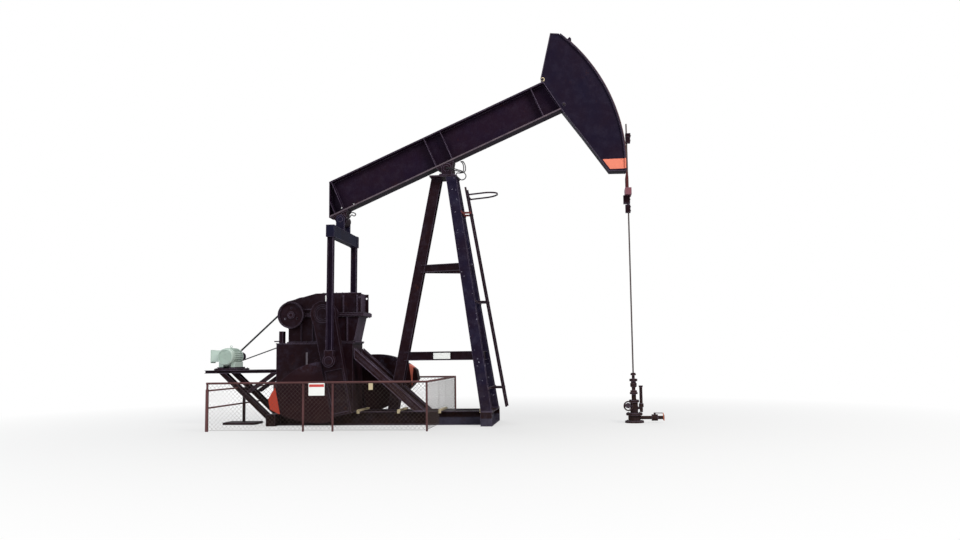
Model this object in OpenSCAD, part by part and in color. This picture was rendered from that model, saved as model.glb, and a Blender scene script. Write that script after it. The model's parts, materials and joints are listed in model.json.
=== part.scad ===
// Beam pumping unit for an oil well, with its crank guard fence and its wellhead.
// Millimetres. +X runs along the walking beam towards the well, +Z is up and z = 0 is the ground.
// The origin lies on the ground straight under the saddle bearing.
// The right side is -Y, with the brake wheel. The left side is +Y, with the belts.

/* [Linkage] */
// Saddle bearing to the wire lines, which lie on the horsehead's curved face
head_reach = 4572; // [4300:10:4700]
// Saddle bearing to tail bearing
tail_reach = 3048; // [2950:5:3150]
// Tail bearing to wrist pin
pitman_len = 3638; // [3600:2:3680]
// Crankshaft to wrist pin
crank_throw = 1194; // [1100:2:1240]
// How far the crankshaft lies behind the saddle bearing
shaft_back = 3048; // [2990:5:3100]
// Height of the saddle bearing
saddle_h = 6480; // [6440:5:6540]
// Height of the crankshaft
shaft_h = 2780; // [2765:5:2830]
// Lean of the crank from straight down, towards the well
crank_lean = 11; // [4:1:20]

/* [Walking beam] */
// Depth of the rolled beam
beam_depth = 866; // [800:2:920]
// Width of its flanges
beam_w = 420; // [380:2:440]
// Thickness of its flanges
beam_flange = 34; // [24:1:45]
// Thickness of its web
beam_web = 20; // [14:1:30]
// Underside of the beam above the saddle bearing's centre
beam_lift = 165; // [158:1:185]
// Tail bearing below a line through the saddle bearing along the beam
tail_drop = 30; // [20:2:50]
// How far the lower flange runs on behind the tail bearing
beam_tail = 274; // [230:2:320]

/* [Horsehead] */
// Gap between the rod's centre line and the wire lines
rod_set = 20; // [18:1:30]
// Half the angle that the curved face spans
head_half = 25.8; // [24:0.1:27]
// Width of the curved face plate
head_w = 450; // [400:5:500]
// Thickness of the curved face plate
head_plate = 28; // [20:1:40]
// Distance between the outer faces of the two side plates
head_side = 350; // [300:5:380]
// Thickness of the side plates
side_plate = 16; // [10:1:24]

/* [Bearings and pins] */
// Radius of the saddle shaft
saddle_shaft_r = 75; // [65:1:85]
// Radius of the tail bearing's shaft
tail_shaft_r = 70; // [60:1:80]
// Outer radius of the saddle and tail bearing housings
housing_r = 150; // [130:1:155]
// Running clearance of a shaft in its bore, on the radius
run_clear = 0.08; // [0.05:0.01:0.1]
// Smallest gap between pieces that move past each other
move_gap = 10; // [6:1:12]

/* [Cranks and weights] */
// Centre of each crank from the middle of the machine
crank_y = 830; // [810:2:850]
// Thickness of a crank
crank_t = 220; // [180:2:240]
// Half width of a crank beside the shaft
crank_half = 290; // [270:2:310]
// Half width of a crank at its free end
crank_end_half = 250; // [230:2:265]
// How far a crank's end lies inside the circle that the counterweights sweep
crank_short = 150; // [120:5:200]
// Thickness of a counterweight
weight_t = 330; // [280:2:340]
// Clearance of the counterweights above the ground as they pass their lowest point
weight_ground_gap = 90; // [60:2:140]
// Distance of a counterweight's tip from the crank's centre line
weight_tip = 1740; // [1650:2:1760]
// Radius of the counterweight's rounded upper edge
weight_round = 1600; // [1500:5:1650]

// Distance between the crank's wrist pin holes
wrist_step = 254; // [230:1:270]
// Radius of the spare wrist pin holes
wrist_hole_r = 58; // [45:1:70]
// Depth of the pockets in the crank's faces
crank_pocket = 30; // [10:1:45]

/* [Pitmans] */
// Centre of each pitman from the middle of the machine
pitman_y = 1130; // [1128:1:1160]
// Width of the pitman's rolled section
pitman_w = 150; // [130:1:160]
// Outer radius of a wrist pin bearing
wrist_r = 155; // [140:1:165]
// Middle of the equalizer below the tail bearing
equalizer_drop = 420; // [400:2:460]
// Depth of the equalizer
equalizer_h = 290; // [260:2:310]

/* [Gear reducer] */
// Half width of the reducer's housing
gear_half = 400; // [380:2:410]
// Half width of the flange where its two halves meet
gear_flange_half = 440; // [425:1:455]
// Depth of the reducer below the crankshaft
gear_depth = 710; // [690:2:720]
// Height of the reducer's top above the crankshaft
gear_top = 550; // [500:5:600]
// Radius of the crankshaft
crankshaft_r = 140; // [125:1:150]
// Input shaft behind the crankshaft
input_back = 950; // [930:5:970]
// Radius of the input shaft
input_r = 55; // [45:1:65]

/* [Belt drive] */
// Radius of the large sheave
sheave_r = 515; // [490:2:530]
// Radius of the motor's pulley
pulley_r = 105; // [90:1:125]
// Number of belts
belts = 5; // [3:1:5]
// Distance from belt to belt
belt_pitch = 28; // [26:1:28]
// Width of a belt
belt_w = 20; // [16:1:22]
// Depth of a belt
belt_t = 14; // [10:1:16]
// Gap between a belt and the sheaves
belt_seat = 0.5; // [0.3:0.1:1]
// Height of the motor shaft
motor_h = 1745; // [1735:1:1790]
// Motor shaft behind the saddle bearing
motor_back = 5760; // [5740:5:5800]
// Radius of the motor over its fins
motor_r = 225; // [200:5:235]
// Radius of the brake wheel
brake_r = 340; // [320:2:350]

// Width of the brake wheel's rim
brake_w = 110; // [90:1:120]

/* [Sub-base and frame] */
// Height of the base's long beams
base_h = 340; // [300:5:350]
// Width of the base beams' flanges
base_w = 250; // [220:5:260]
// Centre of each long beam from the middle
base_y = 400; // [390:2:410]
// Rear end of the long beams behind the saddle
base_rear = 4300; // [4300:5:4350]
// Front end of the base before the saddle
base_front = 1160; // [1160:5:1200]
// Half length of the front cross member
front_half = 1020; // [1010:5:1080]
// Half length of the rear cross member
rear_half = 800; // [700:5:850]
// Half width of the tall sub-base
tower_half = 500; // [480:2:510]
// Length of the tall sub-base
tower_len = 1990; // [1950:5:2000]

// Width of the bars that lie across the base
crossbar_w = 70; // [50:1:90]
// Thickness of the bars that lie across the base
crossbar_t = 45; // [30:1:60]

/* [Samson post] */
// Width of a leg's rolled section
leg_w = 260; // [240:2:270]
// Foot of the rear leg behind the saddle
rear_foot = 1460; // [1400:5:1520]
// Feet of the front legs before the saddle
front_foot = 1015; // [1012:1:1025]
// Feet of the front legs from the middle
foot_y = 870; // [800:5:880]
// Thickness of the top plate
cap_t = 40; // [30:1:50]

/* [Fence] */
// Height of the top rail
fence_h = 1120; // [1000:10:1200]
// Distance of the side panels from the middle
fence_y = 2300; // [2100:10:2500]
// Rear end of the fence behind the saddle
fence_rear = 5420; // [5400:5:5500]
// Front end of the fence behind the saddle
fence_front = 200; // [180:5:220]
// Outer radius of the fence's pipe
pipe_r = 24; // [20:1:30]

// Outer radius of the rear posts' thick lower part
post_thick_r = 38; // [34:1:44]
// Height of the lower rail at the rear end
low_rail_h = 545; // [500:5:600]
// Height of the upper rail at the rear end
high_rail_h = 950; // [930:5:970]

/* [Rod string] */
// Radius of the polished rod
rod_r = 19; // [16:1:22]
// Top of the polished rod above the saddle bearing's height
rod_above = 1050; // [900:10:1200]
// Underside of the carrier bar below the saddle bearing's height
carrier_drop = 800; // [760:5:880]
// Depth of the carrier bar
carrier_t = 170; // [140:5:180]
// Radius of a wire line
wire_r = 14; // [10:1:16]
// Distance of each wire line from the middle
wire_y = 150; // [140:2:160]
// Length of the sockets at the lower ends of the wire lines
socket_len = 405; // [300:5:410]
// Radius of those sockets
socket_r = 36; // [30:1:40]

/* [Wellhead] */
// Radius of the bottom flange
casing_r = 230; // [200:2:250]
// Thickness of the bottom flange
casing_t = 50; // [40:1:60]
// Height of the side outlet with the handwheel
outlet_h = 420; // [400:5:440]
// Radius of the handwheel
handwheel_r = 120; // [90:2:130]

/* [Hidden] */
$fn = 64;
pivot = [0, saddle_h];
shaft = [-shaft_back, shaft_h];
pin = shaft + crank_throw * [sin(crank_lean), -cos(crank_lean)];

// Where two circles in the XZ plane meet, on the left of the way from a to b
function meet(a, ra, b, rb) =
    let (d = norm(b - a), along = (ra * ra - rb * rb + d * d) / (2 * d), up = (b - a) / d)
    a + along * up + sqrt(ra * ra - along * along) * [-up[1], up[0]];

tail = meet(pin, pitman_len, pivot, tail_reach);
tail_slope = atan2(saddle_h - tail[1], -tail[0]);
beam_tilt = tail_slope - asin(tail_drop / tail_reach);
pitman_lean = atan2(pin[0] - tail[0], tail[1] - pin[1]);
well = head_reach + rod_set;
tail_back = sqrt(tail_reach * tail_reach - tail_drop * tail_drop);

// Radius of the horsehead's face, which the wire lines lie on
head_face = head_reach - wire_r - 1;
beam_top = beam_lift + beam_depth;
// Cut of the beam's front end, which carries the horsehead
head_foot = 0.72 * head_reach;
head_shoulder = 0.6875 * head_reach;
// Corners of the horsehead in the beam's own axes
head_low = head_face * [cos(head_half), -sin(head_half)];
head_high = head_face * [cos(head_half), sin(head_half)];
head_back = [[head_low[0] - 390, head_low[1] + 175], [head_foot + 190, -680],
    [head_foot, beam_lift], [head_shoulder, beam_top + 90], [head_high[0] - 235, head_high[1] + 130]];

tower_h = shaft_h - gear_depth;
// The belts run between the reducer's stand and the left counterweight
sheave_y = crank_y - weight_t / 2 - move_gap - belts * belt_pitch / 2;
input_x = -shaft_back - input_back;
motor_x = -motor_back;
tower_rear = -base_rear - 90;
tower_front = tower_rear + tower_len;
gear_rear = -shaft_back - 1120;
gear_front = -shaft_back + 840;
cap_z = saddle_h - 170;
post_top = cap_z - cap_t;
// Top of the motor's rails
rail_h = motor_h - 345;
// Gap between faces that are bolted together
seat_gap = 0.3;
weight_reach = shaft_h - weight_ground_gap;
crank_len = weight_reach - crank_short;
carrier_h = saddle_h - carrier_drop;
rod_top = saddle_h + rod_above;
motor_shaft_r = 35;
plank_t = 60;
rail_rear = motor_x - 560;

steel = [0.16, 0.13, 0.16];
rust = [0.36, 0.22, 0.18];
pale = [0.70, 0.76, 0.70];
cream = [0.86, 0.80, 0.62];
red = [0.62, 0.20, 0.16];

// Extrudes a shape drawn in X and Z between two values of Y
module slab(y0, y1) translate([0, y1, 0]) rotate([90, 0, 0]) linear_extrude(y1 - y0) children();

// Round bar along Y
module bar_y(r, y0, y1) translate([0, y1, 0]) rotate([90, 0, 0]) cylinder(r = r, h = y1 - y0);

// Extrudes a shape drawn in Y and Z along X
module along_x(x0, x1) translate([x0, 0, 0]) rotate([90, 0, 90]) linear_extrude(x1 - x0) children();

// Box given by its corners
module block(a, b) translate(a) cube(b - a);

// Rolled section, with its flanges at top and bottom of the drawing
module section(w, h, flange, web) {
    translate([-w / 2, h / 2 - flange]) square([w, flange]);
    translate([-w / 2, -h / 2]) square([w, flange]);
    translate([-web / 2, -h / 2 + flange / 2]) square([web, h - flange]);
}

// Straight member from a to b, with its section kept square to the machine
module member(a, b, spare) {
    d = b - a;
    l = norm(d);
    translate(a) rotate([atan2(d[1], -d[2]), 0, 0]) rotate([0, -asin(d[0] / l), 0])
        translate([0, 0, -l - spare]) linear_extrude(l + 2 * spare) children();
}

module on_beam() translate([0, 0, saddle_h]) rotate([0, -beam_tilt, 0]) children();
module on_crank() translate([shaft[0], 0, shaft[1]]) rotate([0, -crank_lean, 0]) children();
module on_pitman() translate([tail[0], 0, tail[1]]) rotate([0, -pitman_lean, 0]) children();

// Base

module base_beams() color(steel) for (s = [-1, 1])
    along_x(-base_rear, base_front - 280) translate([s * base_y, base_h / 2])
        section(base_w, base_h, 20, 13);

module front_cross_member() color(steel) {
    x = base_front - 140;
    translate([x, 0, 0]) rotate([0, 0, 90]) along_x(-front_half + 12, front_half - 12)
        translate([0, base_h / 2]) section(280, base_h, 20, 13);
    for (s = [-1, 1])
        block([base_front - 280, s * (front_half - 6) - 6, 0],
            [base_front, s * (front_half - 6) + 6, base_h]);
}

module rear_cross_member() color(steel) {
    x = -base_rear - 120;
    difference() {
        block([x - 120, -rear_half, 0], [x + 120, rear_half, 290]);
        block([x - 106, -rear_half + 14, 14], [x + 106, rear_half - 14, 276]);
    }
}

module base_cross_members() color(steel) {
    reach = base_y - base_w / 2;
    for (x = [0, -rear_foot, tower_front - 150, tower_rear + 240])
        translate([x, 0, 0]) rotate([0, 0, 90]) along_x(-reach, reach)
            translate([0, base_h / 2]) section(290, base_h, 20, 13);
}

// Bars across the base, turned down over the outer edges of the long beams
module base_crossbars() color(cream) {
    edge = base_y + base_w / 2;
    for (i = [-2 : 1]) translate([840 + (i - 1) * 1030, 0, base_h]) {
        block([-crossbar_w / 2, -edge - 20, seat_gap], [crossbar_w / 2, edge + 20, crossbar_t]);
        for (s = [-1, 1]) block([-crossbar_w / 2, s * (edge + 11) - 9, -50],
            [crossbar_w / 2, s * (edge + 11) + 9, crossbar_t]);
    }
}

module gearbox_tower() color(steel) {
    plate = 20;
    difference() {
        union() {
            block([tower_rear, -tower_half, base_h], [tower_front, tower_half, tower_h - 25]);
            block([tower_rear - 10, -tower_half - 10, tower_h - 25],
                [tower_front + 30, tower_half + 10, tower_h]);
        }
        block([tower_rear + plate, -tower_half + plate, base_h + plate],
            [tower_front - plate, tower_half - plate, tower_h - 50]);
    }
}

module tower_strut(side) intersection() {
    member([tower_front - 300, side * base_y, tower_h + 20], [-450, side * base_y, 120], 400)
        section(200, 220, 14, 9);
    block([tower_front + 30, -900, base_h], [0, 900, tower_h]);
}

module tower_struts() color(steel) for (s = [-1, 1]) tower_strut(s);

// Gear reducer

module gear_bores() {
    translate([shaft[0], 0, shaft[1]]) bar_y(crankshaft_r + 5, -900, 900);
    translate([input_x, 0, shaft_h]) bar_y(input_r + run_clear, -900, 900);
}

rib_h = gear_flange_half - gear_half - 4;

// Ribs that stand out from both sides of a housing at each x of a list
module side_ribs(xs, z0, z1) for (x = xs, s = [-1, 1])
    block([x - 12, s * (gear_half + rib_h / 2 - 1) - rib_h / 2 - 1, z0],
        [x + 12, s * (gear_half + rib_h / 2 - 1) + rib_h / 2 + 1, z1]);

module gearbox_lower() color(steel) difference() {
    top = shaft_h - seat_gap / 2;
    union() {
        slab(-gear_half, gear_half) polygon([[gear_rear + 60, tower_h + 30], [gear_front - 190, tower_h + 30],
            [gear_front - 50, shaft_h - 50], [gear_front - 50, top], [gear_rear + 60, top]]);
        block([gear_rear + 30, -gear_flange_half, tower_h],
            [gear_front - 130, gear_flange_half, tower_h + 30]);
        block([gear_rear, -gear_flange_half, shaft_h - 45], [gear_front + 75, gear_flange_half, top]);
        side_ribs([gear_rear + 400, gear_rear + 700, gear_rear + 1000, gear_rear + 1300, gear_rear + 1600],
            tower_h + 20, shaft_h - 40);
        for (s = [-1, 1]) translate([input_x, s * (gear_half + 22), shaft_h]) bar_y(125, -23, 23);
    }
    gear_bores();
    slab(-900, 900) translate([gear_rear - 500, top]) square([3000, 400]);
}

module gearbox_upper() color(steel) difference() {
    under = shaft_h + seat_gap / 2;
    lid_z = shaft_h + gear_top;
    union() {
        slab(-gear_half, gear_half) polygon([[gear_rear, under], [gear_front - 90, under],
            [gear_front - 90, lid_z], [gear_front - 1180, lid_z], [gear_rear, lid_z - 200]]);
        block([gear_rear, -gear_flange_half, under], [gear_front + 75, gear_flange_half, shaft_h + 45]);
        for (s = [-1, 1]) translate([input_x, s * (gear_half + 22), shaft_h]) bar_y(125, -23, 23);
        // Lid over the gears, with its breather
        block([gear_front - 1050, -300, lid_z - 1], [gear_front - 150, 300, lid_z + 16]);
        translate([gear_front - 970, 0, lid_z + 15]) cylinder(r = 20, h = 50);
        translate([gear_front - 970, 0, lid_z + 60]) cylinder(r = 34, h = 30);
        // The side plates run on past the front wall, with a lifting hole in each
        for (s = [-1, 1]) block([gear_front - 91, s * (gear_half - 15) - 15, shaft_h + 44],
            [gear_front, s * (gear_half - 15) + 15, lid_z]);
        side_ribs([gear_front - 102, gear_front - 460], shaft_h + 40, lid_z - 60);
    }
    gear_bores();
    slab(-900, 900) translate([gear_rear - 500, under - 400]) square([3000, 400]);
    translate([gear_front - 48, 0, lid_z - 110]) bar_y(26, -900, 900);
}

module crankshaft_bearings() color(steel) for (s = [-1, 1]) translate([shaft[0], 0, shaft[1]]) {
    difference() {
        union() {
            translate([0, s * (gear_flange_half + 25), 0]) bar_y(270, -25, 25);
            translate([0, s * (gear_flange_half + 85), 0]) bar_y(215, -45, 45);
        }
        bar_y(crankshaft_r + run_clear, -900, 900);
    }
}

// The leg under the brake wheel with its short handle, and the brake's rod on the reducer's side
module brake_bracket() color(steel) {
    block([gear_rear - 130, -570, tower_h], [gear_rear - 30, -gear_half + 40, shaft_h - brake_r - 70]);
    block([gear_rear - 260, -560, tower_h + seat_gap + 30], [gear_rear - 125, -530, tower_h + 60]);
    difference() {
        union() {
            block([gear_rear + 420, -470, shaft_h + 135], [gear_rear + 860, -448, shaft_h + 157]);
            for (x = [gear_rear + 430, gear_rear + 830])
                block([x - 10, -470, shaft_h + 125], [x + 30, -gear_half - seat_gap, shaft_h + 167]);
        }
        translate([shaft[0], 0, shaft[1]]) bar_y(275, -900, -gear_half);
    }
}

// Samson post

module rear_leg_line(spare) member([-290, 0, post_top], [-rear_foot, 0, base_h], spare) children();
module front_leg_line(side, spare)
    member([110, side * 190, post_top], [front_foot, side * foot_y, base_h], spare) children();

module leg_zone() block([-3000, -2000, base_h], [3000, 2000, post_top]);

// Foot plate of a leg
module foot_plate(x, y) block([x - 145, y - 148, base_h], [x + 145, y + 148, base_h + 22]);

module post_rear_leg() color(steel) {
    intersection() {
        rear_leg_line(300) section(leg_w, leg_w, 18, 12);
        leg_zone();
    }
    foot_plate(-rear_foot, 0);
}

module post_front_leg(side) {
    intersection() {
        front_leg_line(side, 300) section(leg_w, leg_w, 18, 12);
        leg_zone();
    }
    foot_plate(front_foot, side * foot_y);
}

module post_front_legs() color(steel) for (s = [-1, 1]) post_front_leg(s);

// A point on a leg at height z
function on_line(a, b, z) = a + (b - a) * (a[2] - z) / (a[2] - b[2]);
function rear_at(z) = on_line([-290, 0, post_top], [-rear_foot, 0, base_h], z);
function front_at(side, z) =
    on_line([110, side * 190, post_top], [front_foot, side * foot_y, base_h], z);

module brace(a, b, h) {
    d = b - a;
    translate(a) rotate([0, 0, atan2(d[1], d[0])]) along_x(0, norm(d)) section(90, h, 10, 8);
}

module post_braces() color(steel) difference() {
    for (level = [[0.6065 * saddle_h, 190], [0.2625 * saddle_h, 220]]) {
        for (s = [-1, 1]) brace(rear_at(level[0]) + [0, s * 70, 0], front_at(s, level[0]), level[1]);
        brace(front_at(-1, level[0]) + [40, 0, 0], front_at(1, level[0]) + [40, 0, 0], level[1]);
    }
    rear_leg_line(300) square(leg_w, center = true);
    for (s = [-1, 1]) front_leg_line(s, 300) square(leg_w, center = true);
}

module post_cap_plate() color(steel) block([-440, -340, post_top], [260, 340, cap_z]);

module saddle_stand() color(steel) {
    translate([0, 0, saddle_h]) bar_y(saddle_shaft_r, -345, 345);
    for (s = [-1, 1]) translate([0, s * 295, 0]) slab(-40, 40) {
        translate([0, saddle_h]) circle(130);
        translate([-130, cap_z]) square([260, saddle_h - cap_z]);
        translate([-190, cap_z]) square([380, 30]);
    }
}

// Ladder in front of the post, along its front legs

ladder_top = [470, 0, 6000];
ladder_foot = [1440, 0, 420];
ladder_half = 210;
hoop_h = 0.8875 * saddle_h;
hoop_rise = 5;

module ladder_stiles() for (s = [-1, 1]) translate([0, s * ladder_half, 0])
    member(ladder_top, ladder_foot, 0) square([50, 12], center = true);

module ladder() color(steel) {
    ladder_stiles();
    d = ladder_foot - ladder_top;
    steps = floor(norm(d) / 300);
    for (i = [1 : steps - 1]) translate(ladder_top + d * i / steps) bar_y(10, -ladder_half, ladder_half);
}

// Each bracket is a bar across both front legs, with an arm out to each side of the ladder
module ladder_brackets() color(steel) for (z = saddle_h * [0.8225, 0.4705, 0.139]) difference() {
    p = on_line(ladder_top, ladder_foot, z);
    q = front_at(1, z);
    bar_x = q[0] + leg_w / 2;
    reach = q[1] + leg_w / 2;
    union() {
        block([bar_x - 12, -reach, z - 25], [bar_x + 20, reach, z + 25]);
        for (s = [-1, 1]) slab(s * (ladder_half + 12) - 6, s * (ladder_half + 12) + 6)
            translate([bar_x + 10, z - 25]) square([p[0] - bar_x + 20, 50]);
    }
    for (s = [-1, 1]) front_leg_line(s, 300) square(leg_w, center = true);
}

module ladder_hoop() color(steel) difference() {
    hoop_x = on_line(ladder_top, ladder_foot, hoop_h)[0] + 12;
    translate([hoop_x, 0, hoop_h]) rotate([0, -hoop_rise, 0]) difference() {
        translate([415, 0, 0]) union() {
            cylinder(r = 350, h = 40);
            translate([-415, -350, 0]) cube([415, 700, 40]);
        }
        translate([415, 0, -1]) cylinder(r = 338, h = 42);
        translate([26, -338, -1]) cube([389, 676, 42]);
    }
    ladder_stiles();
}

// Motor and its frame

module motor_rails() color(steel) for (s = [-1, 1]) {
    along_x(rail_rear, tower_rear) translate([s * 380, rail_h - 40]) section(120, 80, 10, 8);
}

module arm_line(s)
    member([motor_x - 60, s * 380, rail_h - 80], [-base_rear - 230, s * 380, 130], 300) children();

module motor_arms() color(steel) for (s = [-1, 1]) intersection() {
    arm_line(s) section(120, 200, 12, 8);
    block([-8000, -1000, 60], [-base_rear - 240, 1000, rail_h - 80]);
}

module motor_props() color(steel) for (s = [-1, 1]) difference() {
    intersection() {
        member([tower_rear - 60, s * 380, rail_h - 60], [motor_x + 560, s * 380, 800], 300)
            section(90, 120, 8, 6);
        block([-8000, -1000, 400], [tower_rear, 1000, rail_h - 80]);
    }
    arm_line(s) square([200, 200], center = true);
    translate([-220, 0, -220]) arm_line(s) square([600, 200], center = true);
}

module motor_leg() color(steel) translate([-fence_rear, 0, 0]) {
    reach = 380 - 100 - seat_gap;
    block([-30, -30, plank_t - 1], [30, 30, 851]);
    block([-450, -300, 0], [400, 300, plank_t]);
    block([-50, -reach, 850], [50, reach, 950]);
}

foot_under = motor_h - 267;

// Slide base, with the two bars that the motor's feet stand on
module motor_base() color(steel) {
    block([motor_x - 300, -440, rail_h], [motor_x + 300, 440, rail_h + 40]);
    for (s = [-1, 1]) block([motor_x + s * 160 - 75, -400, rail_h + 39],
        [motor_x + s * 160 + 75, 300, foot_under]);
}

module motor_frame() color(pale) {
    translate([motor_x, 0, motor_h]) difference() {
        union() {
            bar_y(motor_r - 22, -370, 230);
            bar_y(motor_r - 6, -370, -330);
            bar_y(motor_r - 6, 170, 230);
            // Cooling fins, left out where the feet are
            for (a = [-117 : 13 : 117]) rotate([0, a, 0]) block([-3, -331, motor_r - 30], [3, 171, motor_r]);
            for (s = [-1, 1]) block([s * 160 - 60, -330, -267], [s * 160 + 60, 190, -130]);
        }
        bar_y(motor_shaft_r + run_clear, 150, 240);
    }
    // Lifting eye
    translate([motor_x, -70, motor_h + motor_r - 24]) cylinder(r = 14, h = 40);
    translate([motor_x, -70, motor_h + motor_r + 36]) rotate([90, 0, 0])
        rotate_extrude() translate([26, 0]) circle(8);
}

module motor_fan_cover() color(pale) translate([motor_x, -370, motor_h]) rotate([90, 0, 0]) {
    rotate_extrude() polygon([[0, 0], [motor_r - 15, 0], [motor_r - 15, 80], [motor_r - 40, 110],
        [motor_r - 50, 110], [motor_r - 50, 88], [0, 88]]);
    // Grille
    for (r = [40, 75, 110, 145]) rotate_extrude() translate([r, 87]) square([7, 17]);
    for (a = [0 : 45 : 135]) rotate(a) block([-motor_r + 45, -4, 87], [motor_r - 45, 4, 100]);
}

module motor_terminal_box() color(pale) difference() {
    union() {
        block([motor_x - 448, -290, motor_h - 128], [motor_x - 150, -10, motor_h + 170]);
        block([motor_x - 460, -300, motor_h - 160], [motor_x - 447, 0, motor_h + 180]);
    }
    translate([motor_x, 0, motor_h]) bar_y(motor_r + seat_gap, -600, 600);
}

// Belts: one loop round both sheaves, with straight runs on the outer tangents

big_c = [input_x, shaft_h];
small_c = [motor_x, motor_h];
belt_span = norm(big_c - small_c);
belt_dir = atan2(big_c[1] - small_c[1], big_c[0] - small_c[0]);

module loop_shape(rb, rs) {
    spread = acos((rb - rs) / belt_span);
    translate(big_c) circle(rb, $fn = 128);
    translate(small_c) circle(rs, $fn = 128);
    angles = [belt_dir + 180 - spread, belt_dir + 180 + spread];
    polygon([for (i = [0, 1]) big_c + rb * [cos(angles[i]), sin(angles[i])],
        for (i = [1, 0]) small_c + rs * [cos(angles[i]), sin(angles[i])]]);
}

module v_belts() color([0.08, 0.08, 0.09]) for (i = [0 : belts - 1]) {
    y = sheave_y + (i - (belts - 1) / 2) * belt_pitch;
    slab(y - belt_w / 2, y + belt_w / 2) difference() {
        loop_shape(sheave_r + belt_seat + belt_t, pulley_r + belt_seat + belt_t);
        loop_shape(sheave_r + belt_seat, pulley_r + belt_seat);
    }
}

// Fence of pipe

post_xs = [-fence_rear, -3100, -2400, -fence_front];

module fence_posts() color(rust) for (s = [-1, 1]) {
    for (x = post_xs) translate([x, s * fence_y, 0]) cylinder(r = pipe_r, h = fence_h - pipe_r);
    translate([-fence_rear, s * fence_y, 0]) cylinder(r = post_thick_r, h = high_rail_h + 30);
}

module side_rails() for (s = [-1, 1]) translate([-fence_rear - pipe_r, s * fence_y, fence_h])
    rotate([0, 90, 0]) cylinder(r = pipe_r, h = fence_rear - fence_front + 2 * pipe_r);

module fence_rails() color(rust) side_rails();

// One rail across the front end, and two on each side of the rear end, which stop at the motor's stand
module fence_end_rails() color(rust) difference() {
    union() {
        translate([-fence_front, 0, fence_h]) bar_y(pipe_r, -fence_y, fence_y);
        for (s = [-1, 1]) translate([-fence_rear, 0, 0]) {
            for (rail = [[high_rail_h, 480], [low_rail_h, 30 + seat_gap]]) translate([0, 0, rail[0]])
                bar_y(pipe_r - 4, s > 0 ? rail[1] : -fence_y, s > 0 ? fence_y : -rail[1]);
        }
    }
    side_rails();
    for (s = [-1, 1]) translate([-fence_rear, s * fence_y, 0]) cylinder(r = post_thick_r, h = fence_h);
}

// Wellhead

// Turned from one profile: casing head, tubing head, pumping tee and stuffing box, from the bottom up
module wellhead() color(rust) translate([well, 0, 0]) rotate_extrude() {
    bore = rod_r + 6;
    polygon([[bore, 0], [casing_r, 0], [casing_r, casing_t], [150, casing_t], [150, 190], [200, 190], [200, 240],
        [95, 240], [95, 500], [125, 500], [125, 550], [56, 550], [56, 700], [96, 700], [96, 745], [80, 745],
        [80, 790], [45, 800], [45, 860], [80, 890], [80, 960], [60, 990], [60, 1010], [97, 1020], [97, 1075],
        [36, 1085], [36, 1165], [67, 1165], [67, 1200], [45, 1225], [bore, 1225]]);
}

// Handwheel on a stem along Y, with its rim at y
module handwheel(y) {
    rotate([90, 0, 0]) {
        translate([0, 0, -y]) rotate_extrude() translate([handwheel_r - 9, 0]) circle(9);
        translate([0, 0, -y - 12]) cylinder(r = 24, h = 24);
        for (a = [0 : 72 : 288]) rotate(a) translate([0, 0, -y])
            rotate([0, 90, 0]) cylinder(r = 6, h = handwheel_r - 8);
    }
    bar_y(11, y, -40);
}

module wellhead_valves() color(rust) translate([well, 0, 0]) difference() {
    union() {
        // Rear outlet, with a gate valve
        translate([-235, 0, outlet_h]) rotate([0, 90, 0]) cylinder(r = 34, h = 235);
        translate([-245, 0, outlet_h]) rotate([0, 90, 0]) cylinder(r = 60, h = 30);
        translate([-145, 0, outlet_h]) {
            bar_y(62, -75, 62);
            bar_y(45, -110, -70);
            handwheel(-190);
        }
        // Front outlet, with its standing pipe
        translate([0, 0, outlet_h - 60]) rotate([0, 90, 0]) cylinder(r = 34, h = 175);
        translate([175, 0, 260]) cylinder(r = 38, h = 645);
        translate([175, 0, 380]) cylinder(r = 58, h = 90);
        translate([175, 0, 870]) cylinder(r = 50, h = 40);
        // Low outlet, with its plug valve and lever
        translate([0, 0, 125]) rotate([0, 90, 0]) cylinder(r = 42, h = 700);
        translate([420, 0, 125]) rotate([0, 90, 0]) cylinder(r = 78, h = 150);
        translate([700, 0, 125]) rotate([0, 90, 0]) cylinder(r = 70, h = 26);
        translate([495, 0, 125]) cylinder(r = 26, h = 120);
        block([480, -12, 225], [690, 12, 243]);
    }
    translate([0, 0, 60]) cylinder(r = 150 + seat_gap, h = 130);
    translate([0, 0, 230]) cylinder(r = 95 + seat_gap, h = 300);
}

// Wire lines between the horsehead and the carrier bar

module bridle_lines() color(rust) for (s = [-1, 1])
    translate([head_reach, s * wire_y, carrier_h + carrier_t + socket_len + seat_gap])
        cylinder(r = wire_r, h = carrier_drop - carrier_t - socket_len - 2 * seat_gap);

// Pieces that ride on the walking beam

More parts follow.
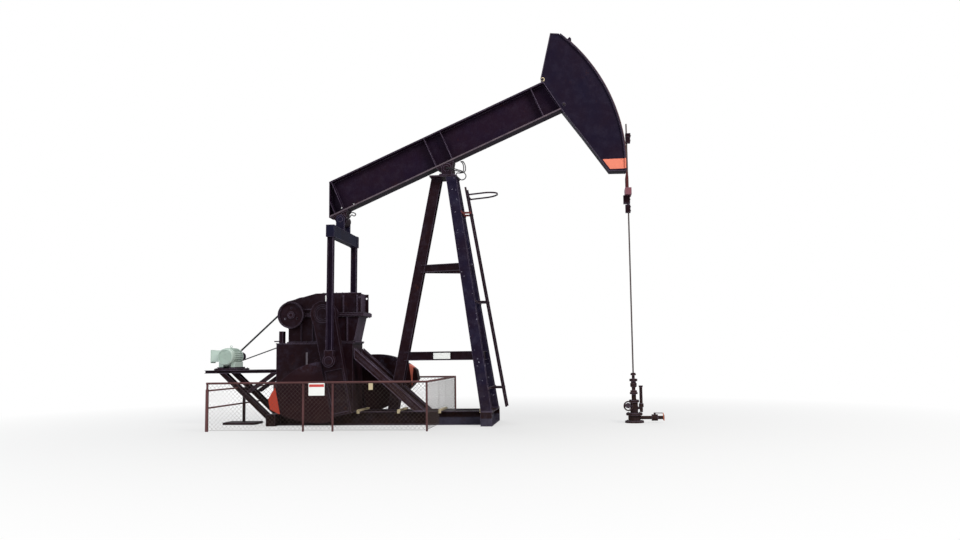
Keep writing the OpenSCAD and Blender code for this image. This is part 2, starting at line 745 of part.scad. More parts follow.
module walking_beam() color(steel) on_beam() difference() {
    rear_x = -tail_back - beam_tail;
    rear_top_x = rear_x + beam_depth * tan(beam_tilt);
    union() {
        along_x(rear_x, head_foot) translate([0, beam_lift + beam_depth / 2])
            section(beam_w, beam_depth, beam_flange, beam_web);
        // Stiffeners between the flanges
        for (x = [-tail_back - 90, -tail_back + 150, -230, 230, head_shoulder - 330])
            block([x - 9, -beam_w / 2 + 8, beam_lift + beam_flange - 1],
                [x + 9, beam_w / 2 - 8, beam_top - beam_flange + 1]);
        // Plate on the upright rear end
        slab(-beam_w / 2 + 8, beam_w / 2 - 8) polygon([[rear_x, beam_lift + 1], [rear_x + 20, beam_lift + 1],
            [rear_top_x + 20, beam_top - 1], [rear_top_x, beam_top - 1]]);
    }
    // The rear end is cut upright in the raised position, and the front end as the horsehead's back
    slab(-900, 900) polygon([[rear_x, beam_lift], [rear_x - 900, beam_lift - 1],
        [rear_x - 900, beam_top + 1], [rear_top_x, beam_top + 1], [rear_top_x, beam_top]]);
    slab(-900, 900) polygon([[head_foot, beam_lift - 1], [head_foot + 900, beam_lift - 1],
        [head_foot + 900, beam_top + 90], [head_shoulder, beam_top + 90]]);
}

module saddle_bearing() color(steel) on_beam() difference() {
    union() {
        bar_y(housing_r, -230, 230);
        block([-240, -200, beam_lift - 36], [240, 200, beam_lift]);
        block([-120, -190, 0], [120, 190, beam_lift - 20]);
    }
    bar_y(saddle_shaft_r + run_clear, -400, 400);
}

module tail_bearing() color(steel) on_beam() translate([-tail_back, 0, -tail_drop]) difference() {
    union() {
        bar_y(housing_r, -210, 210);
        block([-220, -200, tail_drop + beam_lift - 36], [260, 200, tail_drop + beam_lift]);
        block([-130, -180, 0], [130, 180, tail_drop + beam_lift - 20]);
    }
    bar_y(tail_shaft_r + run_clear, -400, 400);
}

// Moves the edges of an outline inwards by t, for an outline drawn clockwise
function side_of(a, b) = [b[1] - a[1], a[0] - b[0]] / norm(b - a);
function inset(pts, t) = let (n = len(pts)) [for (i = [0 : n - 1])
    let (m = side_of(pts[(i + n - 1) % n], pts[i]), k = side_of(pts[i], pts[(i + 1) % n]))
    pts[i] + t * (m + k) / (1 + m * k)];

// Where the wire lines end on the head's face, as an angle in the beam's own axes
anchor_at = 22.5;
anchor_half = 30;

module horsehead() color(steel) on_beam() {
    face_in = head_face - head_plate;
    // Bar that holds the ends of the wire lines
    rotate([0, -anchor_at, 0])
        block([head_face - 5, -wire_y - 50, -anchor_half], [head_face + 80, wire_y + 50, anchor_half]);
    outline = concat([head_low], head_back, [head_high, [3 * head_reach, 0]]);
    slab(-head_w / 2, head_w / 2) intersection() {
        difference() {
            circle(head_face, $fn = 256);
            circle(face_in, $fn = 256);
        }
        polygon([[0, 0], 2 * head_low, [3 * head_reach, 0], 2 * head_high]);
    }
    for (s = [-1, 1]) translate([0, s * (head_side - side_plate) / 2, 0])
        slab(-side_plate / 2, side_plate / 2) intersection() {
            circle(face_in + 1, $fn = 256);
            polygon(outline);
        }
    // Plates that close the head at its foot, back and top
    slab(-head_side / 2 - 30, head_side / 2 + 30) intersection() {
        difference() {
            polygon(outline);
            polygon(inset(outline, side_plate));
        }
        circle(face_in + 1, $fn = 256);
    }
}

line_end = anchor_at - asin((anchor_half + 2) / head_reach);

module horsehead_lines() color(rust) on_beam() for (s = [-1, 1])
    slab(s * wire_y - wire_r, s * wire_y + wire_r) intersection() {
        difference() {
            circle(head_reach + wire_r, $fn = 256);
            circle(head_reach - wire_r, $fn = 256);
        }
        polygon([[0, 0], 2 * head_reach * [cos(-beam_tilt), sin(-beam_tilt)], [3 * head_reach, 0],
            2 * head_reach * [cos(line_end), sin(line_end)]]);
    }

// Pieces that turn with the crankshaft

module crankshaft() color(steel) on_crank()
    bar_y(crankshaft_r, -crank_y + crank_t / 2, crank_y - crank_t / 2);

function crank_edge(u) = crank_half - (crank_half - crank_end_half) * u / crank_len;

module crank_shape() {
    circle(crank_half + 30);
    polygon([[-crank_half, 0], [-crank_end_half, -crank_len], [crank_end_half, -crank_len], [crank_half, 0]]);
}

// Outline of the pocket in a crank's free end
module pocket_shape() {
    rim = 48;
    top = crank_throw + 230;
    end = crank_len - 60;
    polygon([[-crank_edge(top) + rim, -top], [-crank_edge(end) + rim, -end],
        [crank_edge(end) - rim, -end], [crank_edge(top) - rim, -top]]);
}

module crank(side) on_crank() {
    out = crank_y + crank_t / 2;
    boss = pitman_y - 85 - move_gap;
    difference() {
        slab(side * crank_y - crank_t / 2, side * crank_y + crank_t / 2) crank_shape();
        for (f = [-1, 1]) translate([0, side * crank_y + f * crank_t / 2, 0])
            slab(-crank_pocket, crank_pocket) pocket_shape();
        // Spare wrist pin holes, for shorter strokes
        for (i = [1, 2]) translate([0, 0, -crank_throw + i * wrist_step]) bar_y(wrist_hole_r, -2000, 2000);
    }
    translate([0, 0, -crank_throw]) bar_y(85, side > 0 ? out - 1 : -boss, side > 0 ? boss : -out + 1);
    // Hub, with the end of the crankshaft in it
    difference() {
        bar_y(225, side > 0 ? out - 1 : -out - 35, side > 0 ? out + 35 : -out + 1);
        difference() {
            bar_y(180, side > 0 ? out + 15 : -out - 36, side > 0 ? out + 36 : -out - 15);
            bar_y(crankshaft_r, -2000, 2000);
        }
    }
}

module cranks() color(steel) for (s = [-1, 1]) crank(s);

// Distances down the crank where a counterweight's outline starts and ends
weight_from = crank_len + 210 - weight_round;
weight_to = crank_len + 100;

module weight_shape() intersection() {
    circle(weight_reach, $fn = 256);
    translate([-450, -weight_from - weight_round]) circle(weight_round, $fn = 256);
    polygon([[-crank_edge(weight_from - 150) - seat_gap, 150 - weight_from], [-weight_tip, 150 - weight_from],
        [-weight_tip, -weight_to - 60], [-crank_edge(weight_to) - seat_gap, -weight_to]]);
}

// A counterweight with its lifting lug
module counterweight(side) on_crank() translate([0, side * crank_y, 0]) {
    slab(-weight_t / 2, weight_t / 2) children();
    translate([side * 410, 0, 40 - weight_from]) slab(-20, 20) difference() {
        union() {
            circle(45);
            translate([-45, -90]) square([90, 90]);
        }
        circle(22);
    }
}

// The right crank has its weight on the rear side, and the left crank on the front side
module counterweights() color(steel) {
    counterweight(-1) weight_shape();
    counterweight(1) mirror([1, 0]) weight_shape();
}

// Pieces that hang from the tail bearing

equalizer_half = pitman_y + pitman_w / 2 + 20;

module equalizer() color(steel) on_pitman() {
    bar_y(tail_shaft_r, -325, 325);
    for (s = [-1, 1]) translate([0, s * 275, 0]) slab(-40, 40) {
        circle(120);
        translate([-110, -equalizer_drop + equalizer_h / 2 - 1])
            square([220, equalizer_drop - equalizer_h / 2 + 1]);
    }
    block([-95, -equalizer_half + 180, -equalizer_drop - equalizer_h / 2],
        [95, equalizer_half - 180, -equalizer_drop + equalizer_h / 2]);
    for (s = [-1, 1]) block([-105, s * (equalizer_half - 90) - 90, -equalizer_drop - equalizer_h / 2 - 5],
        [105, s * (equalizer_half - 90) + 90, -equalizer_drop + equalizer_h / 2 + 5]);
}

module pitman(side) on_pitman() translate([0, side * pitman_y, -pitman_len + 260])
    linear_extrude(pitman_len - 260 - equalizer_drop - equalizer_h / 2 - 5)
        rotate(90) section(pitman_w, pitman_w, 12, 8);

module pitmans() color(steel) for (s = [-1, 1]) pitman(s);

module wrist_bearing(side) on_pitman() translate([0, side * pitman_y, -pitman_len]) {
    bar_y(wrist_r, -85, 85);
    block([-110, -85, 0], [110, 85, 260]);
    translate([0, side * 85, 0]) bar_y(105, side > 0 ? -1 : -20, side > 0 ? 20 : 1);
}

module wrist_bearings() color(steel) for (s = [-1, 1]) wrist_bearing(s);

// Rod string

module polished_rod() color([0.45, 0.38, 0.34])
    translate([well, 0, 600]) cylinder(r = rod_r, h = rod_top - 600);

module carrier_bar() color(red) translate([well, 0, carrier_h]) difference() {
    block([-80, -230, 0], [80, 230, carrier_t]);
    translate([0, 0, -1]) cylinder(r = rod_r, h = carrier_t + 2);
}

// Sockets on the carrier bar that hold the lower ends of the wire lines
module rope_sockets() color(red) for (s = [-1, 1]) translate([head_reach, s * wire_y, carrier_h + carrier_t]) {
    cylinder(r = socket_r, h = socket_len - 120);
    translate([0, 0, socket_len - 120]) cylinder(r1 = socket_r, r2 = wire_r + 4, h = 120);
}

// Clamps on the rod: one near its top, and two below the carrier bar
module rod_clamps() color(steel) translate([well, 0, 0]) difference() {
    union() {
        block([-25, -60, carrier_h + 1350], [90, 60, carrier_h + 1480]);
        block([-28, -85, carrier_h + 1490], [100, 85, carrier_h + 1590]);
        block([-28, -30, carrier_h + 1470], [60, 30, carrier_h + 1500]);
        block([-120, -70, carrier_h - 210], [45, 70, carrier_h - seat_gap]);
        block([-75, -60, carrier_h - 440], [50, 60, carrier_h - 240]);
        translate([0, 0, carrier_h - 245]) cylinder(r = 34, h = 40);
    }
    translate([0, 0, carrier_h - 600]) cylinder(r = rod_r, h = 2400);
}

// Belt drive's turning pieces

// Profile of a grooved sheave, with the radius along X and the width along Y
module groove_profile(r, bore) {
    half = belts * belt_pitch / 2;
    difference() {
        translate([bore, -half]) square([r + belt_t - bore, 2 * half]);
        for (i = [0 : belts - 1]) translate([r, (i - (belts - 1) / 2) * belt_pitch])
            polygon([[0, -belt_w / 2 - belt_seat], [belt_t + 1, -belt_w / 2 - 2],
                [belt_t + 1, belt_w / 2 + 2], [0, belt_w / 2 + belt_seat]]);
    }
}

// Turns a profile about Y
module turned(y) translate([0, y, 0]) rotate([-90, 0, 0]) rotate_extrude($fn = 128) children();

module belt_sheave() color(steel) translate([input_x, 0, shaft_h]) {
    turned(sheave_y) groove_profile(sheave_r, sheave_r - 55);
    difference() {
        bar_y(sheave_r - 54, sheave_y - 14, sheave_y + 14);
        for (a = [0 : 60 : 300]) rotate([0, a, 0]) translate([0, 0, 290])
            bar_y(95, sheave_y - 20, sheave_y + 20);
    }
    bar_y(125, sheave_y - 50, sheave_y + 60);
    bar_y(input_r, -565, sheave_y + 40);
}

module brake_wheel() color(steel) translate([input_x, 0, shaft_h]) difference() {
    front = -480 - brake_w;
    union() {
        difference() {
            bar_y(brake_r, front, -480);
            bar_y(brake_r - 30, front - 1, -479);
        }
        difference() {
            bar_y(brake_r - 29, -530, -510);
            // Web holes
            for (a = [0, 120, 240]) rotate([0, a, 0]) translate([0, 0, 180]) bar_y(22, -600, -500);
        }
        bar_y(90, -565, -485);
    }
    bar_y(input_r, -600, -470);
}

module motor_pulley() color(steel) translate([motor_x, 0, motor_h]) {
    turned(sheave_y) groove_profile(pulley_r, motor_shaft_r - 5);
    bar_y(motor_shaft_r, 160, sheave_y + 50);
}

base_beams();
front_cross_member();
rear_cross_member();
base_cross_members();
base_crossbars();
gearbox_tower();
tower_struts();
gearbox_lower();
gearbox_upper();
crankshaft_bearings();
brake_bracket();
post_rear_leg();
post_front_legs();
post_braces();
post_cap_plate();
saddle_stand();
ladder();
ladder_brackets();
ladder_hoop();
motor_rails();
motor_arms();
motor_props();
motor_leg();
motor_base();
motor_frame();
motor_fan_cover();
motor_terminal_box();
v_belts();
fence_posts();
fence_rails();
fence_end_rails();
wellhead();
wellhead_valves();
bridle_lines();
walking_beam();
saddle_bearing();
tail_bearing();
horsehead();
horsehead_lines();
crankshaft();
cranks();
counterweights();
equalizer();
pitmans();
wrist_bearings();
polished_rod();
carrier_bar();
rope_sockets();
rod_clamps();
belt_sheave();
brake_wheel();
motor_pulley();
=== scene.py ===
# %% [markdown]
# # A beam pumping unit, dressed round its CAD model
# The CAD model already holds every piece with its real size. This lesson gives the pieces
# their paint, rust and grease, adds the small things that the CAD model leaves out, such as
# bolt heads, tubes and the wire netting of the fence, and sets up a plain studio with the
# camera at the place from which the photograph was taken.

import json
import math

import bmesh
import bpy
from mathutils import Matrix, Vector


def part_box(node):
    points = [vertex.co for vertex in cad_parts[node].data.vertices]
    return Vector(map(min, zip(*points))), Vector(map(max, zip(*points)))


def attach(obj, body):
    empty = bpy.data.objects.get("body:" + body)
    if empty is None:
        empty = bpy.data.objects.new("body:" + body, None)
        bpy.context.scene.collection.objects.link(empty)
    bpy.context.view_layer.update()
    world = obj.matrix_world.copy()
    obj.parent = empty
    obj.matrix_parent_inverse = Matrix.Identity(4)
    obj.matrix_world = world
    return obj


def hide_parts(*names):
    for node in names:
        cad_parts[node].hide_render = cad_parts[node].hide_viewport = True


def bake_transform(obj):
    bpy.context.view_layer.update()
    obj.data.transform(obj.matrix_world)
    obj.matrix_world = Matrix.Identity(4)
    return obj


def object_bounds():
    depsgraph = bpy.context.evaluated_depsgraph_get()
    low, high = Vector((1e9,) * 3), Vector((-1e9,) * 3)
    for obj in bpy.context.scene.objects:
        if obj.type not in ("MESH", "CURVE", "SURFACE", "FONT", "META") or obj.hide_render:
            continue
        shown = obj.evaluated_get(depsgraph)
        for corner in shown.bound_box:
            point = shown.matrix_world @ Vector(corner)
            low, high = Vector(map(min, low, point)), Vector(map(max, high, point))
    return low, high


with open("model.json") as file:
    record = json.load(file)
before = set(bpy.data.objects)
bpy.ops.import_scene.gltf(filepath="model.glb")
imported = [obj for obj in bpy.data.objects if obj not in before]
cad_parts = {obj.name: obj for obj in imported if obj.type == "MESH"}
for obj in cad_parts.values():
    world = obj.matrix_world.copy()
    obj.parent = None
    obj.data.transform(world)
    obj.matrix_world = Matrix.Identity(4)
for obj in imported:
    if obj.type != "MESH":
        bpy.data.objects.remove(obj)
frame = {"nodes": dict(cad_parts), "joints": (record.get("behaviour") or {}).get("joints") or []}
cad_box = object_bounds()
nodes = frame["nodes"]
joints = {joint["name"]: joint for joint in frame["joints"]}
print("pieces from the CAD model:", len(nodes))

# %% [markdown]
# The joints in the frame say where each pivot is. The slope of the walking beam comes from
# two of them. The lean of the cranks is typed in, because the linkage is open at the wrist
# pins, so no joint of the frame lies there.

# %% Pivots of the linkage
SHAFT = Vector(joints["crank_turn"]["pos_m"])
SADDLE = Vector(joints["beam_rock"]["pos_m"])
TAIL = Vector(joints["pitman_swing"]["pos_m"])
INPUT = Vector(joints["input_spin"]["pos_m"])
MOTOR = Vector(joints["motor_spin"]["pos_m"])
CRANK_LEAN = math.radians(11)
TAIL_DROP = 0.030
BEAM_TILT = math.atan2(SADDLE.z - TAIL.z, SADDLE.x - TAIL.x) - math.asin(TAIL_DROP / (SADDLE - TAIL).length)
print("saddle bearing at", tuple(round(v, 3) for v in SADDLE), "beam at", round(math.degrees(BEAM_TILT), 1))

# %% [markdown]
# ## Camera
# A camera is a place, three turns and a lens. These values came from matching the pivots,
# the foot of the base and the rod with the photograph, with a little algebra.
# The camera stands some 22 metres away, at eye height, and looks slightly up.

# %% Camera of the photograph
IMAGE_WIDTH = 960
CAMERA_PLACE = Vector((3.314, -22.252, 1.698))
YAW, PITCH, ROLL = math.radians(6.449), math.radians(5.554), math.radians(-0.705)
FOCAL_PIXELS = 879.07

forward = Vector((-math.sin(YAW) * math.cos(PITCH), math.cos(YAW) * math.cos(PITCH), math.sin(PITCH)))
level_right = Vector((math.cos(YAW), math.sin(YAW), 0))
level_up = level_right.cross(forward)
right = level_right * math.cos(ROLL) + level_up * math.sin(ROLL)
up = level_up * math.cos(ROLL) - level_right * math.sin(ROLL)

camera_data = bpy.data.cameras.new("photo_camera")
camera = bpy.data.objects.new("photo_camera", camera_data)
bpy.context.scene.collection.objects.link(camera)
camera.matrix_world = Matrix.Translation(CAMERA_PLACE) @ Matrix((right, up, -forward)).transposed().to_4x4()
camera_data.sensor_width = 36
camera_data.lens = FOCAL_PIXELS * camera_data.sensor_width / IMAGE_WIDTH
camera_data.clip_end = 300
bpy.context.scene.camera = camera
print("lens in millimetres:", round(camera_data.lens, 1))

# %% [markdown]
# ## Paint and rust
# The unit was painted dark long ago. Sun has dulled the paint, dust has settled on it and
# rust comes through at the edges and low down. One way is a painted image, but an image has
# to be unwrapped onto every piece. Here each finish is made of noise that reads Object
# coordinates, so it runs on over every piece without a seam, and stays on a piece that moves.
# Light is painted into the colours as well: highlights on the edges, a sheen of the sky in patches, and
# some lit and shaded places.

# %% Small helpers for shader nodes
def new_material(name):
    material = bpy.data.materials.new(name)
    material.use_nodes = True
    tree = material.node_tree
    return material, tree, tree.nodes["Principled BSDF"]


def add(tree, kind, **values):
    node = tree.nodes.new(kind)
    for key, value in values.items():
        setattr(node, key, value)
    return node


def noise(tree, place, scale, detail=5.0, roughness=0.6):
    node = add(tree, "ShaderNodeTexNoise")
    node.inputs["Scale"].default_value = scale
    node.inputs["Detail"].default_value = detail
    node.inputs["Roughness"].default_value = roughness
    tree.links.new(place, node.inputs["Vector"])
    return node.outputs["Fac"]


def step(tree, value, low, high, out_low=0.0, out_high=1.0):
    """Turns a value from low to high into one from out_low to out_high, and holds it there."""
    node = add(tree, "ShaderNodeMapRange", clamp=True)
    tree.links.new(value, node.inputs["Value"])
    for key, number in (("From Min", low), ("From Max", high), ("To Min", out_low), ("To Max", out_high)):
        node.inputs[key].default_value = number
    return node.outputs["Result"]


def maths(tree, operation, a, b):
    node = add(tree, "ShaderNodeMath", operation=operation)
    for socket, value in zip(node.inputs, (a, b)):
        if isinstance(value, (int, float)):
            socket.default_value = value
        else:
            tree.links.new(value, socket)
    return node.outputs["Value"]


def mix(tree, factor, a, b):
    """Mixes two colours. Each is a colour or a socket."""
    node = add(tree, "ShaderNodeMix", data_type="RGBA")
    tree.links.new(factor, node.inputs["Factor"])
    for socket, value in ((node.inputs[6], a), (node.inputs[7], b)):
        if isinstance(value, tuple):
            socket.default_value = (*value, 1)
        else:
            tree.links.new(value, socket)
    return node.outputs[2]


def object_place(tree):
    return add(tree, "ShaderNodeTexCoord").outputs["Object"]


def part_of(tree, place, axis):
    node = add(tree, "ShaderNodeSeparateXYZ")
    tree.links.new(place, node.inputs["Vector"])
    return node.outputs[axis]


print("helpers ready")

# %% [markdown]
# The paint is built in layers: the paint itself in two close shades, patches of painted sheen
# where the sky would show, chips, and lighter edges, which are partly worn paint and partly a
# painted highlight. Rust and dust come as it aged: rust where a coarse and a fine noise agree,
# and dust, which lies thicker low down and on faces that look up. An edge is found by rounding
# the normal: where the rounded one leaves the true one, an edge is near. Roughness and a slight
# bump follow the same masks, because rust is rough and paint still shines a little.

# %% Weathered paint
RUST = (0.050, 0.015, 0.009)
DUST = (0.17, 0.125, 0.095)
# The next colour is for the lighter edges: partly worn paint, partly a painted highlight.
EDGE_HIGHLIGHT = (0.210, 0.165, 0.235)
EDGE_WIDTH = 0.022
# The next colour is a painted sheen of the sky, laid on in patches.
SKY_SHEEN = (0.070, 0.062, 0.100)
CHIP = (0.340, 0.320, 0.400)


def edge_highlights(tree, place, strength, width):
    """Near 1 close to an edge, in patches: where the edges are painted lighter, partly as worn paint and
    partly as a painted highlight.
    """
    rounded = add(tree, "ShaderNodeBevel", samples=6)
    rounded.inputs["Radius"].default_value = width
    apart = add(tree, "ShaderNodeVectorMath", operation="DOT_PRODUCT")
    tree.links.new(rounded.outputs["Normal"], apart.inputs[0])
    tree.links.new(add(tree, "ShaderNodeNewGeometry").outputs["Normal"], apart.inputs[1])
    near = step(tree, apart.outputs["Value"], 0.985, 0.90, 0.0, strength)
    return maths(tree, "MULTIPLY", near, step(tree, noise(tree, place, 2.3, 6, 0.7), 0.35, 0.65, 0.3, 1.0))


def weathered(name, paint, shade, rust=0.35, dust=0.2, shine=0.55, gleam=0.05, edge=0.6,
              edge_width=EDGE_WIDTH, sheen=0.2, sheen_from=-1.0, chips=0.0, mask=None, mask_colour=None):
    """Aged paint, with painted light in it: lighter edges, and patches of a painted sky sheen, only above a
    height where one is given. The amounts of rust, dust, gleam, lighter edges, sky sheen and chips run from
    0 to 1.

    Where mask is 1, the paint is mask_colour, which is a colour or a function that gives one.
    """
    material, tree, shader = new_material(name)
    shader.inputs["Specular IOR Level"].default_value = gleam
    place = object_place(tree)
    broad = noise(tree, place, 1.3, 4)
    fine = noise(tree, place, 22, 6, 0.7)
    colour = mix(tree, step(tree, broad, 0.35, 0.65), paint, shade)
    if sheen:
        clouds = step(tree, noise(tree, place, 4.3, 9, 0.78), 0.47, 0.68, 0.0, sheen)
        above = step(tree, part_of(tree, place, "Z"), sheen_from, sheen_from + 0.35)
        colour = mix(tree, maths(tree, "MULTIPLY", clouds, above), colour, SKY_SHEEN)
    if chips:
        colour = mix(tree, step(tree, noise(tree, place, 17, 3, 0.5), 0.68, 0.71, 0.0, chips), colour, CHIP)
    if edge:
        colour = mix(tree, edge_highlights(tree, place, edge, edge_width), colour, EDGE_HIGHLIGHT)
    if mask:
        second = mask_colour(tree, place) if callable(mask_colour) else mask_colour
        colour = mix(tree, mask(tree, place), colour, second)
    patches = maths(tree, "ADD", maths(tree, "MULTIPLY", noise(tree, place, 3.1, 8, 0.72), 0.75),
                    maths(tree, "MULTIPLY", fine, 0.25))
    rusty = step(tree, patches, 0.64 - 0.16 * rust, 0.74 - 0.12 * rust, 0.0, 0.85)
    colour = mix(tree, rusty, colour, RUST)
    height = part_of(tree, place, "Z")
    low_down = step(tree, height, 1.6, 0.0, 0.0, 0.75)
    facing = add(tree, "ShaderNodeNewGeometry").outputs["Normal"]
    upward = step(tree, part_of(tree, facing, "Z"), 0.55, 0.95, 0.0, 0.55)
    settled = maths(tree, "MULTIPLY", maths(tree, "ADD", maths(tree, "MAXIMUM", low_down, upward), 0.08),
                    step(tree, noise(tree, place, 5.3, 7, 0.7), 0.35, 0.75, 0.1, 1.0))
    dusty = maths(tree, "MULTIPLY", settled, dust)
    colour = mix(tree, dusty, colour, DUST)
    tree.links.new(colour, shader.inputs["Base Color"])
    dull = maths(tree, "MULTIPLY", dusty, 0.3)
    rough = maths(tree, "ADD", step(tree, rusty, 0.0, 0.85, shine, 0.8), dull)
    tree.links.new(rough, shader.inputs["Roughness"])
    bump = add(tree, "ShaderNodeBump")
    bump.inputs["Strength"].default_value = 0.25
    bump.inputs["Distance"].default_value = 0.004
    tree.links.new(maths(tree, "ADD", fine, rusty), bump.inputs["Height"])
    tree.links.new(bump.outputs["Normal"], shader.inputs["Normal"])
    return material


print("weathered paint ready")

# %% [markdown]
# Most of the machine has one dark, brownish paint. The beam, the pitmans, the post, the
# equalizer and the horsehead lie towards blue, a painted reflection of the sky, and the struts
# have bright edges, partly worn paint and partly a painted highlight. The motor is pale green,
# the fence is brown pipe, and the crossbars on the base are cream. Each is the same recipe with
# other amounts, so the pieces look as if they stood in one yard.

# %% Coats of paint
DARK, DARK_SHADE = (0.0110, 0.0030, 0.0060), (0.0145, 0.0040, 0.0065)
# The blue in BLUISH and in the paints of the post and the equalizer is a painted reflection of the sky.
BLUISH, BLUISH_SHADE = (0.0110, 0.0040, 0.0160), (0.0145, 0.0050, 0.0130)
machine_paint = weathered("machine_paint", DARK, DARK_SHADE)
pitman_paint = weathered("pitman_paint", BLUISH, BLUISH_SHADE, sheen=0.12)
leg_paint = weathered("leg_paint", (0.010, 0.008, 0.026), (0.011, 0.005, 0.015), rust=0.3, sheen=0.25,
                      chips=0.5)
equalizer_paint = weathered("sky_reflection_paint", (0.008, 0.009, 0.028), (0.010, 0.007, 0.018), dust=0, sheen=0.05)
# The struts get strong painted highlights along their edges.
strut_paint = weathered("strut_paint", (0.018, 0.006, 0.008), (0.023, 0.008, 0.009), edge=1.0,
                        edge_width=0.045)
motor_paint = weathered("motor_paint", (0.55, 0.66, 0.58), (0.48, 0.58, 0.52), rust=0.1, dust=0.35,
                        shine=0.42, gleam=0.4, edge=0, sheen=0)
fence_pipe = weathered("fence_pipe", (0.165, 0.070, 0.072), (0.115, 0.048, 0.050), rust=0.5, shine=0.6,
                       edge=0, sheen=0)
carrier_paint = weathered("carrier_paint", (0.22, 0.075, 0.095), (0.16, 0.060, 0.078), rust=0.3,
                          gleam=0.2, sheen=0)
cream_paint = weathered("cream_paint", (0.66, 0.55, 0.34), (0.56, 0.45, 0.28), rust=0.3, gleam=0.3,
                        edge=0, sheen=0)
socket_paint = weathered("socket_paint", (0.10, 0.022, 0.022), (0.07, 0.018, 0.020), rust=0.4, sheen=0)
wellhead_iron = weathered("wellhead_iron", (0.024, 0.010, 0.009), (0.017, 0.007, 0.008), rust=0.6,
                          shine=0.6, edge=0.8)
print("coats of paint:", len(bpy.data.materials))

# %% [markdown]
# The foot of the horsehead and the tips of the counterweights are painted orange, so that
# nobody walks into them. A mask decides where. For the horsehead it is a band of heights that
# stops short of the back plate, and for the weights it is the distance from the crank's
# middle line, which leans. The weights' orange also carries painted light and shade: the near
# tips are a darker orange, as in shade, and on the far tips only a narrow wedge is a lit
# orange, while the rest of each far tip is painted dark as shade.

# %% Where the orange safety paint lies
SOFT = 0.004
HEAD_BAND = (6.343, 6.600)
HEAD_BACK, HEAD_FOOT = Vector((2.958, 0, 7.935)), Vector((4.125, 0, 6.289))
BAND_INSET = 0.055
TIP_FROM = 1.51
WEDGE_REAR, WEDGE_FRONT = Vector((-1.124, 0, 1.02)), Vector((-1.097, 0, 1.02))
WEDGE_REAR_LEAN, WEDGE_FRONT_LEAN = math.radians(8), math.radians(4)
WEDGE_SOFT = 0.006
# Painted light and shade on the tips: the near orange is shaded, the far wedge lit, and the rest of the far
# tip painted as shade.
NEAR_ORANGE_IN_SHADE, FAR_ORANGE_LIT, FAR_TIP_SHADE = (0.50, 0.062, 0.036), (0.80, 0.20, 0.14), (0.026, 0.007, 0.008)


def reach(tree, place, origin, way):
    """How far a point lies from origin, measured along way in the plane of X and Z."""
    ahead = maths(tree, "SUBTRACT", part_of(tree, place, "X"), origin.x)
    above = maths(tree, "SUBTRACT", part_of(tree, place, "Z"), origin.z)
    run = maths(tree, "MULTIPLY", ahead, way.x)
    return maths(tree, "ADD", run, maths(tree, "MULTIPLY", above, way.z))


def head_band(tree, place):
    """1 between two heights, as far back as BAND_INSET from the back plate."""
    height = part_of(tree, place, "Z")
    low, high = HEAD_BAND
    band = maths(tree, "MULTIPLY", step(tree, height, low, low + SOFT),
                 step(tree, height, high + SOFT, high))
    back = (HEAD_FOOT - HEAD_BACK).normalized()
    from_back = reach(tree, place, HEAD_FOOT, Vector((-back.z, 0, back.x)))
    return maths(tree, "MULTIPLY", band, step(tree, from_back, BAND_INSET, BAND_INSET + SOFT))


def weight_tip(tree, place):
    """1 where a point lies further than TIP_FROM to either side of the crank's middle line."""
    aside = reach(tree, place, SHAFT, Vector((math.cos(CRANK_LEAN), 0, math.sin(CRANK_LEAN))))
    return step(tree, maths(tree, "ABSOLUTE", aside, 0), TIP_FROM, TIP_FROM + SOFT)


def tip_colours(tree, place):
    """Orange painted in shade on the near weights; on the far ones a lit wedge of orange, and the rest of
    the tip painted dark as shade.
    """
    ahead = Vector((math.cos(WEDGE_REAR_LEAN), 0, math.sin(WEDGE_REAR_LEAN)))
    behind = Vector((-math.cos(WEDGE_FRONT_LEAN), 0, math.sin(WEDGE_FRONT_LEAN)))
    wedge = maths(tree, "MULTIPLY",
                  step(tree, reach(tree, place, WEDGE_REAR, ahead), 0.0, WEDGE_SOFT),
                  step(tree, reach(tree, place, WEDGE_FRONT, behind), 0.0, WEDGE_SOFT))
    far_tip = mix(tree, wedge, FAR_TIP_SHADE, FAR_ORANGE_LIT)
    return mix(tree, step(tree, part_of(tree, place, "Y"), -0.1, 0.1), NEAR_ORANGE_IN_SHADE, far_tip)


print("orange band from", HEAD_BAND[0], "to", HEAD_BAND[1], "metres")

# %% [markdown]
# Four more masks follow what shows on the real machine: the ladder's top bracket is redder,
# and the other three paint light into the colour. The edge of the beam's lower flange gets a
# painted highlight, the reducer's front wall a painted reflection of the sky, and the lower part
# of the base's front end is painted lighter and bluish, as where the sun falls on it. A mask
# that reads a height or a facing needs no painted image and no second material.

# %% A redder bracket, and painted light in three places
TOP_BRACKET = (4.9, 5.0)
FLANGE_EDGE = (0.1655, 0.1990)
FLANGE_SOFT = 0.002
# Where the base's front end is painted lighter, as lit by the sun.
SUNLIT_FROM_X, SUNLIT_BELOW_Z = (-0.30, -0.18), (0.20, 0.17)


def top_bracket(tree, place):
    return step(tree, part_of(tree, place, "Z"), *TOP_BRACKET)


def low_flange(tree, place):
    """The edge of the beam's lower flange, painted lighter as a highlight."""
    height = reach(tree, place, SADDLE, Vector((-math.sin(BEAM_TILT), 0, math.cos(BEAM_TILT))))
    low, high = FLANGE_EDGE
    edge = maths(tree, "MULTIPLY", step(tree, height, low, low + FLANGE_SOFT),
                 step(tree, height, high, high - FLANGE_SOFT))
    return maths(tree, "MULTIPLY", edge, step(tree, noise(tree, place, 3.7, 7, 0.7), 0.3, 0.6, 0.35, 1.0))


def front_wall(tree, place):
    """Walls that face the front, where a reflection of the sky is painted into the colour."""
    facing = add(tree, "ShaderNodeNewGeometry").outputs["Normal"]
    return maths(tree, "MULTIPLY", step(tree, part_of(tree, facing, "X"), 0.70, 0.90),
                 step(tree, noise(tree, place, 4.1, 7, 0.7), 0.3, 0.6, 0.55, 1.0))


